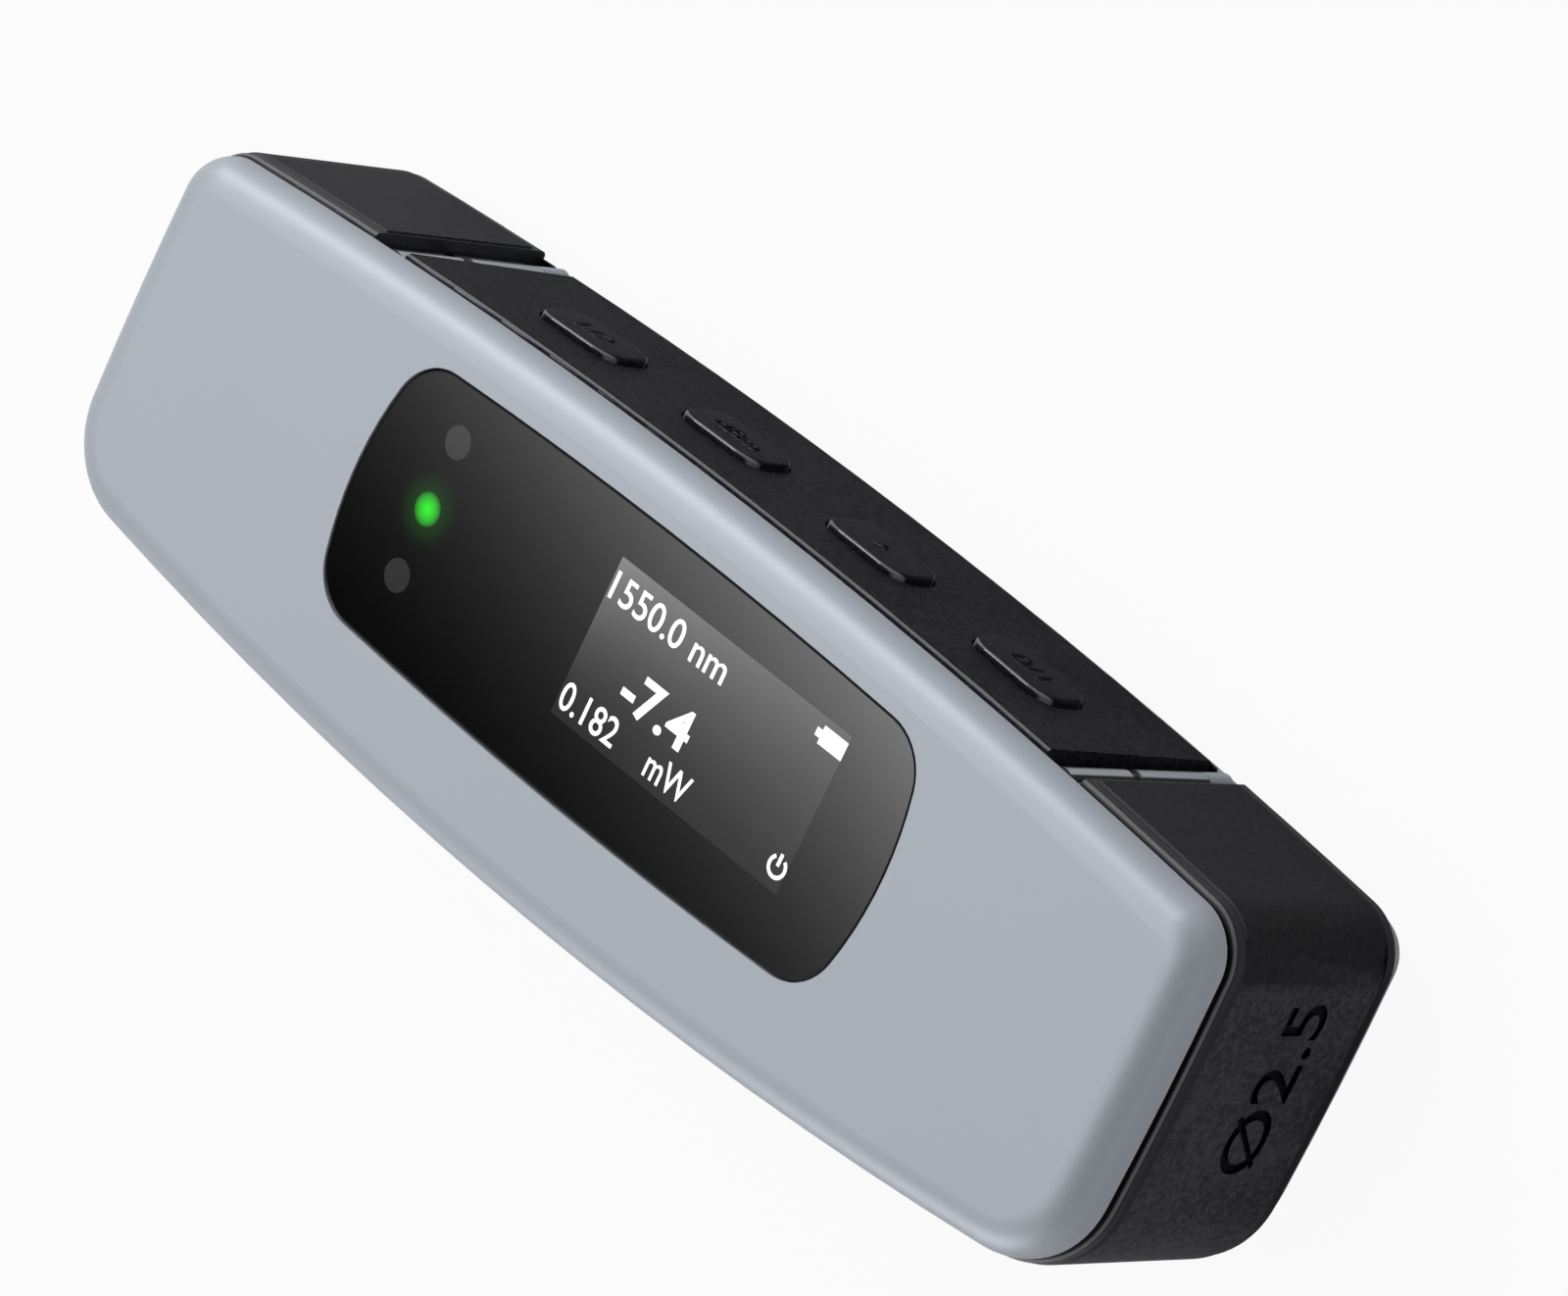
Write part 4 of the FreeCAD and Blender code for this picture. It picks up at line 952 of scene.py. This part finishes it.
@dataclass
class Studio:
    """White table in a bright ring of cloth, with a wide softbox overhead. Lengths in metres.

    The softbox fades out towards one edge, which is what the window mirrors.
    """

    ring_color: Color = (0.97, 0.98, 1.0)
    ring_level: float = 0.58
    ring_bottom: float = 0.1
    ring_top: float = 0.5
    level_above: float = 0.01
    floor_half: float = 3.0
    floor_level: float = -0.00005
    floor_color: Color = (0.55, 0.55, 0.56)
    floor_glow: float = 0.93
    softbox: Panel = Panel("softbox", 0.6, 3.1, (0.0, 0.0, 0.62))
    edge_turn: float = 15.4
    edge_from_axis: float = -0.4373
    edge_slide: float = -0.3
    edge_length: float = 0.1203
    edge_power: float = 4.66
    aim: Triple = (0.0, 0.0, 0.01)
    panels: tuple[Panel, ...] = (
        Panel("rim_panel", 0.34, 6.2, (-0.35, 0.385, 0.35)),
        Panel("fill_panel", 0.4, 3.6, (-0.1, -0.6, 0.16)),
        Panel("end_panel", 0.4, 1.5, (0.56, 0.0, 0.14), mirrored=False),
    )

    def build(self) -> None:
        """Set up the floor, the world and the lamps."""
        bpy.context.scene.view_settings.view_transform = "Standard"
        self.build_world()
        self.build_floor()
        self.build_softbox()
        for panel in self.panels:
            self.build_panel(panel)

    def build_world(self) -> None:
        """White where the camera looks, and elsewhere a ring of light that ends above."""
        world = bpy.data.worlds.new("studio_world")
        bpy.context.scene.world = world
        world.use_nodes = True
        tree = NodeTree(world.node_tree)
        height = tree.part(tree.node("TexCoord", output="Generated"), "Z")
        level = height.ramp(self.ring_bottom, self.ring_top, self.ring_level, self.level_above)
        lit = tree.node("Background", sockets={0: self.ring_color, 1: level})
        seen = tree.node("Background", sockets={0: WHITE, 1: 1.0})
        shown = tree.either(tree.node("LightPath", output="Is Camera Ray"), lit, seen)
        tree.node("OutputWorld", sockets={0: shown})

    def build_floor(self) -> None:
        """A wide pale sheet under the object, brightened where the camera looks at it."""
        deselect()
        bpy.ops.mesh.primitive_plane_add(size=2 * self.floor_half, location=(0, 0, self.floor_level))
        floor = named("floor")
        shader = Shader("floor_white")
        cloth = shader.node("BsdfDiffuse", sockets={0: self.floor_color})
        seen = shader.node("LightPath", output="Is Camera Ray")
        shown = shader.either(seen * self.floor_glow, cloth, shader.emission(1.0))
        shader.node("OutputMaterial", sockets={0: shown})
        floor.data.materials.append(shader.material)

    @staticmethod
    def lamp(panel: Panel, matrix: Matrix) -> bpy.types.AreaLight:
        """Hang a square lamp.

        Args:
            panel: Its name, size and brightness.
            matrix: Its place; it shines down its own Z.

        Returns:
            The lamp's data.
        """
        data = bpy.data.lights.new(panel.name, "AREA")
        data.shape = "SQUARE"
        data.size = panel.size
        data.energy = panel.brightness * math.pi * panel.size * panel.size
        lamp = bpy.data.objects.new(panel.name, data)
        lamp.visible_camera = False
        lamp.visible_glossy = panel.mirrored
        bpy.context.scene.collection.objects.link(lamp)
        lamp.matrix_world = matrix
        return data

    def build_panel(self, panel: Panel) -> None:
        """Hang a plain lamp panel that faces the object."""
        outward = (Vector(panel.place) - Vector(self.aim)).normalized()
        turn = outward.to_track_quat("Z", "Y").to_matrix().to_4x4()
        self.lamp(panel, Matrix.Translation(panel.place) @ turn)

    def build_softbox(self) -> None:
        """Hang the overhead softbox, flat, and fade it out along the edge that the window mirrors."""
        size = self.softbox.size
        turn = Matrix.Rotation(math.radians(-self.edge_turn), 4, "Z")
        middle = turn @ Vector((self.edge_slide, self.edge_from_axis + size / 2, 0))
        data = self.lamp(self.softbox, Matrix.Translation(middle + Vector(self.softbox.place)) @ turn)
        data.use_nodes = True
        tree = NodeTree(data.node_tree)
        along = tree.part(tree.node("NewGeometry", output="Parametric"), "Y")
        bright = (along * (size / self.edge_length)).at_most(1.0) ** self.edge_power
        tree.node("OutputLight", sockets={0: tree.emission(bright)})


@dataclass(frozen=True)
class Reading:
    """One lit line of figures: its place is its lower left corner, from the middle of the field."""

    name: str
    text: str
    x: float
    y: float
    capital: float
    width: float
    bold: float = 0.02


@dataclass
class Display:
    """The display's lit field, its figures and its small signs, just over the window's face."""

    from_window: Pair = (8.0, 0.78)
    width: float = 21.74
    height: float = 11.24
    field_thickness: float = 0.012
    field_ease: float = 0.004
    mark_thickness: float = 0.01
    readings: tuple[Reading, ...] = (
        Reading("reading_wavelength", "1550.0 nm", -10.66, 2.9, 1.97, 10.9),
        Reading("reading_level", "-7.4", -6.5, -2.25, 2.7, 6.3, bold=0.09),
        Reading("reading_power", "0.182", -10.66, -5.0, 1.97, 5.3),
        Reading("reading_unit", "mW", -2.35, -5.0, 1.97, 3.9),
    )
    battery_size: Pair = (2.15, 1.25)
    battery_shoulder: float = 0.02
    battery_tip: Pair = (0.45, 0.45)
    battery_from_corner: Pair = (1.1, 1.1)
    ring_radius: float = 0.68
    ring_stroke: float = 0.26
    ring_opening: float = 66.0
    ring_segments: int = 40
    ring_from_corner: Pair = (0.85, 1.5)
    stroke_length: float = 0.84
    stroke_rise: float = 0.47

    def build(self) -> list[Piece]:
        """Build the field and everything lit on it."""
        x, y, top = window_point(self.from_window)
        level = top + self.field_thickness
        right, upper, lower = x + self.width / 2, y + self.height / 2, y - self.height / 2
        battery_x, battery_y = right - self.battery_from_corner[0], upper - self.battery_from_corner[1]
        ring_x, ring_y = right - self.ring_from_corner[0], lower + self.ring_from_corner[1]
        pieces = [self.field(x, y, top)]
        for reading in self.readings:
            size = reading.capital, reading.width, reading.bold, self.mark_thickness
            figures = words(reading.name, reading.text, *size)
            place = Vector(metres(x + reading.x, y + reading.y, level))
            figures.data.transform(Facing.FRONT.placed_at(place))
            pieces.append(figures)
        pieces.append(self.battery_sign(battery_x, battery_y, level))
        pieces.append(self.power_sign(ring_x, ring_y, level))
        white = LitMark("lit_white", srgb(245, 247, 248))
        for piece in pieces[1:]:
            white.dress(piece)
        for piece in pieces:
            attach(piece, Body.CASE.value)
        return pieces

    def field(self, x: float, y: float, top: float) -> Piece:
        """The flat field of dots, a thin plate with its edges eased."""
        piece = self.plate("screen_field", x, y, top, (self.width, self.height, self.field_thickness))
        modify(piece, "BEVEL", width=self.field_ease * MM, segments=1, affect="EDGES", limit_method="ANGLE")
        LitField(middle=(x, y), width=self.width, height=self.height).dress(piece)
        return piece

    @staticmethod
    def plate(name: str, x: float, y: float, level: float, size: Triple) -> Piece:
        """A thin block that stands on a level, to be worked on further.

        Args:
            name: The piece's name.
            x: Middle of the block across.
            y: Middle of the block upwards.
            level: What it stands on.
            size: Its width, height and thickness.

        Returns:
            The block.
        """
        deselect()
        bpy.ops.mesh.primitive_cube_add(size=MM, location=metres(x, y, level + size[2] / 2))
        piece = named(name)
        with editing(piece):
            bpy.ops.transform.resize(value=size)
        return settle(piece)

    def battery_sign(self, x: float, y: float, level: float) -> Piece:
        """A small filled battery with its terminal."""
        length, share = self.battery_tip
        piece = self.plate("battery_sign", x, y, level, (*self.battery_size, self.mark_thickness))
        shoulder = {"value": metres(-self.battery_shoulder, 0, 0)}
        with editing_faces(piece, lambda face: face.normal.x < -0.5):
            bpy.ops.mesh.extrude_region_move(TRANSFORM_OT_translate=shoulder)
            bpy.ops.transform.resize(value=(1.0, share, 1.0), center_override=metres(x, y, level))
            bpy.ops.mesh.extrude_region_move(TRANSFORM_OT_translate={"value": metres(-length, 0, 0)})
        return piece

    def power_sign(self, x: float, y: float, level: float) -> Piece:
        """A ring open at its top, with a short upright stroke in the gap."""
        centre = Vector(metres(x, y, level + self.mark_thickness / 2))
        half_open = math.radians(self.ring_opening / 2)
        deselect()
        bpy.ops.mesh.primitive_torus_add(
            location=centre,
            major_radius=self.ring_radius * MM,
            minor_radius=self.ring_stroke / 2 * MM,
            major_segments=self.ring_segments,
            minor_segments=4,
        )
        ring = settle(named("power_sign"))

        def in_gap(face: Face) -> bool:
            """Whether a face lies in the ring's opening."""
            away = face.center - centre
            return abs(math.atan2(away.x, away.y)) < half_open

        flatten = (1.0, 1.0, self.mark_thickness / self.ring_stroke)
        with editing_faces(ring, in_gap):
            bpy.ops.mesh.delete(type="FACE")
            bpy.ops.mesh.select_all(action="SELECT")
            bpy.ops.mesh.fill_holes(sides=4)
            bpy.ops.transform.resize(value=flatten, center_override=centre)
            bpy.ops.mesh.normals_make_consistent(inside=False)
        size = (self.ring_stroke, self.stroke_length, self.mark_thickness)
        stroke = self.plate("power_stroke", x, y + self.stroke_rise, level, size)
        return settle(join(ring, stroke))


@dataclass
class StatusLights:
    """The ends of the three light pipes as they show through the window, the middle one lit."""

    names: tuple[str, str, str] = ("status_light_lower", "status_light_middle", "status_light_upper")
    from_window: Pair = (-18.68, 0.66)
    pitch: float = 4.87
    radius: float = 1.12
    rim: float = 0.2
    thickness: float = 0.012
    segments: int = 48

    def middle(self) -> Vector:
        """Where the lit spot stands, in millimetres."""
        return Vector(window_point(self.from_window))

    def build(self) -> list[Piece]:
        """Build the three spots."""
        dark = MouldedPlastic(
            "dark_pipe", srgb(40, 40, 41), roughness=0.12, grain_depth=0.001, specular=0.7
        )
        lit = LitLamp(middle=tuple(self.middle().xy))
        spots = []
        for step, name in enumerate(self.names):
            spot = self.spot(name, self.middle() + Vector((0, (step - 1) * self.pitch, 0)))
            (lit if step == 1 else dark).dress(spot)
            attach(spot, Body.CASE.value)
            spots.append(spot)
        return spots

    def spot(self, name: str, place: Vector) -> Piece:
        """One round spot with an eased rim."""
        deselect()
        bpy.ops.mesh.primitive_cylinder_add(
            vertices=self.segments,
            radius=self.radius * MM,
            depth=self.thickness * MM,
            location=(place + Vector((0, 0, self.thickness / 2))) * MM,
        )
        piece = named(name)
        with editing_faces(piece, lambda face: face.normal.z > 0.9):
            bpy.ops.mesh.inset(thickness=self.rim * MM)
        settle(piece)
        smooth(piece)
        return piece


@dataclass
class Keys:
    """The four keys, with lowered faces, planed edges next to the display, and raised signs.

    They stand along the bowed key side, each on its own body.
    """

    signs: tuple[tuple[str, float], ...] = (("1/2", 2.9), ("dBm", 3.9), ("^", 1.1), ("0/1", 2.9))
    capital: float = 1.7
    bold: float = 0.02
    rise: float = 0.06
    sink: float = 0.13
    lowered: float = 0.25
    crown: float = 0.31
    rim_depth: float = 0.4
    plane_width: float = 0.38
    plane_tilt: float = 35.0
    plane_match: float = 0.999
    edge_half_chord: float = 49.0
    edge_rise: float = 2.35
    smooth_angle: float = 30.0

    def build(self) -> list[Piece]:
        """Build each key and its sign."""
        rubber = GrainedRubber(
            "key_rubber", color=srgb(14, 14, 17), worn_color=srgb(30, 30, 34), roughness=0.48
        )
        # The planed edges' pale glossy finish: its colour is a painted highlight.
        edge = MouldedPlastic("key_edge_polish", srgb(146, 146, 151), roughness=0.28, specular=1.0)
        ink = GrainedRubber("key_sign_rubber", color=srgb(3, 3, 3), worn_color=srgb(6, 6, 6), specular=0.02)
        pieces = []
        for number, (text, width) in enumerate(self.signs, start=1):
            node, body = "key_%d" % number, "key_%d_body" % number
            stand = self.stand(node)
            key = self.key(node, stand)
            rubber.dress(key)
            self.lay_painted_highlight(key, stand, edge)
            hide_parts(node)
            depth = self.rise + self.sink
            sign = words("key_%d_sign" % number, text, self.capital, width, self.bold, depth)
            to_centre(sign)
            sink = Matrix.Translation((0, -self.sink * MM, 0))
            sign.data.transform(stand @ sink @ Facing.KEY_SIDE.placed_at(Vector()))
            ink.dress(sign)
            for piece in (key, sign):
                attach(piece, body)
                pieces.append(piece)
        return pieces

    def stand(self, node: str) -> Matrix:
        """Middle of a key's face, turned with the bow of the key side.

        Args:
            node: The key's node.

        Returns:
            The place, with its Y straight out of the face.
        """
        radius = (self.edge_half_chord ** 2 + self.edge_rise ** 2) / (2 * self.edge_rise) * MM
        low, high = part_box(node)
        x = (low.x + high.x) / 2
        inner = max(abs(x) - (high.x - low.x) / 2, 0.0)
        y = high.y - (x * x - inner * inner) / (2 * radius) - self.lowered * MM
        place = Vector((x, y, (low.z + high.z) / 2))
        return Matrix.Translation(place) @ Matrix.Rotation(-math.asin(x / radius), 4, "Z")

    def plane_direction(self, stand: Matrix) -> Vector:
        """Direction of a key's planed edge, from the stand of its face."""
        tilt = math.radians(self.plane_tilt)
        return stand.to_3x3() @ Vector((0, math.sin(tilt), math.cos(tilt)))

    def key(self, node: str, stand: Matrix) -> Piece:
        """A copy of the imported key, its face lowered and the edge next to the display planed off.

        Args:
            node: The key's node.
            stand: The middle of its face.

        Returns:
            The planed key.
        """
        key = copy_of(node, node + "_cap")
        outward = stand.to_3x3() @ Vector((0, 1, 0))
        depth = (self.lowered - self.crown) * MM

        def on_crown(face: Face) -> bool:
            """Whether a face lies on the raised middle of the key's face."""
            corners = [key.data.vertices[index].co for index in face.vertices]
            return all((corner - stand.translation).dot(outward) > depth for corner in corners)

        with editing_faces(key, on_crown):
            bpy.ops.transform.translate(value=outward * (-self.lowered * MM))
        rim = stand.translation.y - self.rim_depth * MM
        top = max(vertex.co.z for vertex in key.data.vertices if vertex.co.y > rim)
        out = top - stand.translation.z - self.plane_width * math.sin(math.radians(self.plane_tilt)) * MM
        plane_off(key, stand @ Vector((0, 0, out)), self.plane_direction(stand))
        smooth(key, self.smooth_angle)
        return key

    def lay_painted_highlight(self, key: Piece, stand: Matrix, finish: Finish) -> None:
        """Lay a second finish, whose pale colour is a painted highlight, on the planed edge alone."""
        outward = self.plane_direction(stand)
        key.data.materials.append(finish.material())
        for face in key.data.polygons:
            if face.normal.dot(outward) > self.plane_match:
                face.material_index = 1


def cover_rubber() -> GrainedRubber:
    """The finish of both covers' soft skins."""
    return GrainedRubber(
        "cover_rubber",
        color=srgb(37, 37, 41),
        worn_color=srgb(65, 65, 70),
        highlight_color=srgb(60, 60, 64),
        grain_per_mm=2.6,
        specular=0.14,
        # Painted shade on the key side, past the crease.
        painted_shade_side=0.8,
    )


@dataclass
class RightCoverSkin:
    """The soft skin of the right cover, with its engraved figures and the crease beside them."""

    engraving: str = "\u00d82.5"
    capital: float = 4.0
    width: float = 12.0
    bold: float = 0.05
    depth: float = 0.28
    cutter_length: float = 2.0
    centre_y: float = 2.6
    centre_z: float = 10.2
    crease: Pair = (49.55, 9.8)
    crease_turn: float = 23.0
    shade_margin: float = 0.2
    floor_margin: float = 0.02
    face_margin: float = 0.03

    def build(self) -> list[Piece]:
        """Build the skin."""
        skin = copy_of("right_cover_pad", "right_cover_skin")
        turn = math.radians(self.crease_turn)
        plane_off(skin, Vector(metres(*self.crease, 0)), Vector((math.cos(turn), math.sin(turn), 0)))
        face_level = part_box("right_cover_pad")[1].x / MM
        floor_level = face_level - self.depth
        figures = words(
            "engraving_cutter", self.engraving, self.capital, self.width, self.bold, self.cutter_length
        )
        to_centre(figures)
        place = Vector(metres(floor_level, self.centre_y, self.centre_z))
        figures.data.transform(Facing.RIGHT_END.placed_at(place))
        cut(skin, figures)
        cover_rubber().dress(skin)
        self.shade(skin, floor_level, face_level)
        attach(skin, Body.RIGHT_COVER.value)
        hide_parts("right_cover_pad")
        return [skin]

    def shade(self, skin: Piece, floor_level: float, face_level: float) -> None:
        """Lay a darker finish on the walls and the floor of the engraving, as painted shade in the recess.

        Args:
            skin: The engraved skin.
            floor_level: Where the engraving's floor lies along X.
            face_level: Where the skin's face lies along X.
        """
        # Painted shade for the engraving's walls and floor.
        shade = GrainedRubber(
            "engraving_painted_shade", color=srgb(3, 3, 4), worn_color=srgb(9, 9, 10), highlight_color=srgb(12, 12, 13)
        )
        skin.data.materials.append(shade.material())
        half_width = self.width / 2 + self.shade_margin
        half_height = self.capital / 2 + self.shade_margin
        for face in skin.data.polygons:
            x, y, z = face.center / MM
            inside = abs(y - self.centre_y) < half_width and abs(z - self.centre_z) < half_height
            sunk = floor_level - self.floor_margin < x < face_level - self.face_margin
            if inside and sunk and (face.normal.x < 0.5 or x < floor_level + self.floor_margin):
                face.material_index = 1


@dataclass
class CaseScrewHeads:
    """The four case screws, each with a cross recess in its head."""

    head_radius: float = 1.75
    arm_length: float = 1.0
    arm_width: float = 0.5
    recess_depth: float = 0.65
    taper: float = 0.55

    def build(self) -> list[Piece]:
        """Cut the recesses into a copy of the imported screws."""
        screws = copy_of("case_screws", "case_screw_set")
        low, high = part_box("case_screws")
        inset = self.head_radius * MM
        crosses = [
            self.cross(Vector((x, y, low.z)))
            for x in (low.x + inset, high.x - inset)
            for y in (low.y + inset, high.y - inset)
        ]
        cut(screws, join(*crosses))
        BareMetal("screw_steel", srgb(150, 152, 156), lines=(1.0, 1.0, 0.04)).dress(screws)
        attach(screws, Body.CASE.value)
        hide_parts("case_screws")
        return [screws]

    def cross(self, place: Vector) -> Piece:
        """A tapered cross that stands into one head from its outer face."""
        deselect()
        bpy.ops.mesh.primitive_cube_add(size=MM, location=place)
        piece = named("recess_cutter")
        core = (self.arm_width, self.arm_width, 2 * self.recess_depth)
        with editing(piece):
            bpy.ops.transform.resize(value=core, center_override=place)
        reach = self.arm_length - self.arm_width / 2
        with editing_faces(piece, lambda face: abs(face.normal.z) < 0.5):
            bpy.ops.mesh.extrude_faces_move(TRANSFORM_OT_shrink_fatten={"value": reach * MM})
        settle(piece)
        with editing_faces(piece, lambda face: face.normal.z > 0.5):
            bpy.ops.transform.resize(value=(self.taper, self.taper, 1.0), center_override=place)
        return piece


@dataclass
class CadFinishes:
    """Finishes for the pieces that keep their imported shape."""

    upright_lines: Triple = (1.0, 1.0, 0.04)

    def build(self) -> None:
        """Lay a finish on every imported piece."""
        black = MouldedPlastic("frame_black_finish", srgb(16, 16, 18), roughness=0.45, specular=0.25)
        foam = MouldedPlastic(
            "foam_tape", srgb(48, 48, 50), roughness=0.9, grain_per_mm=3.0, grain_depth=0.05
        )
        seal = GrainedRubber("seal_rubber_finish", color=srgb(46, 46, 48), roughness=0.7, grain_depth=0.01)
        steel = BareMetal("pin_steel", srgb(176, 178, 182), lines=self.upright_lines)
        nickel = BareMetal("port_nickel", srgb(190, 188, 180), roughness=0.22)
        adapter = MouldedPlastic("adapter_grey", srgb(70, 72, 76), roughness=0.35)
        holder = MouldedPlastic("holder_black", srgb(24, 24, 27), roughness=0.4, specular=0.3)
        ceramic = MouldedPlastic("ferrule_ceramic", srgb(226, 224, 214), roughness=0.18, grain_depth=0.001)
        chip = MouldedPlastic("chip_epoxy", srgb(28, 28, 30), roughness=0.55)
        plunger = MouldedPlastic("plunger_white", srgb(210, 208, 200), roughness=0.4)
        glass = MouldedPlastic("display_back", srgb(30, 32, 36), roughness=0.12, grain_depth=0.001)
        flex = MouldedPlastic("flex_film", srgb(150, 92, 30), roughness=0.3)
        lamp = MouldedPlastic("lamp_resin", srgb(214, 208, 150), roughness=0.25)
        numbers = range(1, 5)
        finishes: dict[Finish, str] = {
            SatinShell(): "front_shell back_shell",
            black: "mid_frame display_carrier",
            GlossWindow(glow_middle=tuple(StatusLights().middle().xy)): "window_lens",
            foam: "window_gasket battery_pad",
            GrainedRubber("panel_rubber"): "key_panel",
            CircuitBoard(): "key_board main_board",
            CoverPlastic(): "right_cover_shell left_cover_shell",
            cover_rubber(): "left_cover_pad",
            seal: "right_cover_seal left_cover_seal",
            steel: "right_hinge_pin left_hinge_pin",
            nickel: "meter_port_collar laser_port_collar detector_can laser_barrel laser_diode usb_shell",
            adapter: "meter_port_adapter",
            holder: "detector_holder",
            ceramic: "laser_sleeve",
            chip: "board_link usb_tongue controller_chip amplifier_chip "
            + " ".join("switch_body_%d" % number for number in numbers),
            plunger: "battery_socket " + " ".join("switch_plunger_%d" % number for number in numbers),
            Foil(): "battery_cell",
            glass: "display_glass",
            flex: "display_flex",
            ClearMoulding("clear_guide_finish"): "light_guide",
            lamp: "status_leds",
        }
        dressed = set()
        for finish, nodes in finishes.items():
            for node in nodes.split():
                finish.dress(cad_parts[node])
                dressed.add(node)
        replaced = sorted(set(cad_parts) - dressed)
        LOG.info("packed pieces dressed: %d, replaced later: %s", len(dressed), replaced)


def main() -> None:
    """Build the camera, the studio and every piece, in order."""
    logging.basicConfig(level=logging.INFO, format="%(message)s")
    Camera().build()
    Studio().build()
    CadFinishes().build()
    for part in (Display(), StatusLights(), Keys(), RightCoverSkin(), CaseScrewHeads()):
        for piece in part.build():
            LOG.info("%s: %d faces", piece.name, len(piece.data.polygons))


if __name__ == "__main__":
    main()
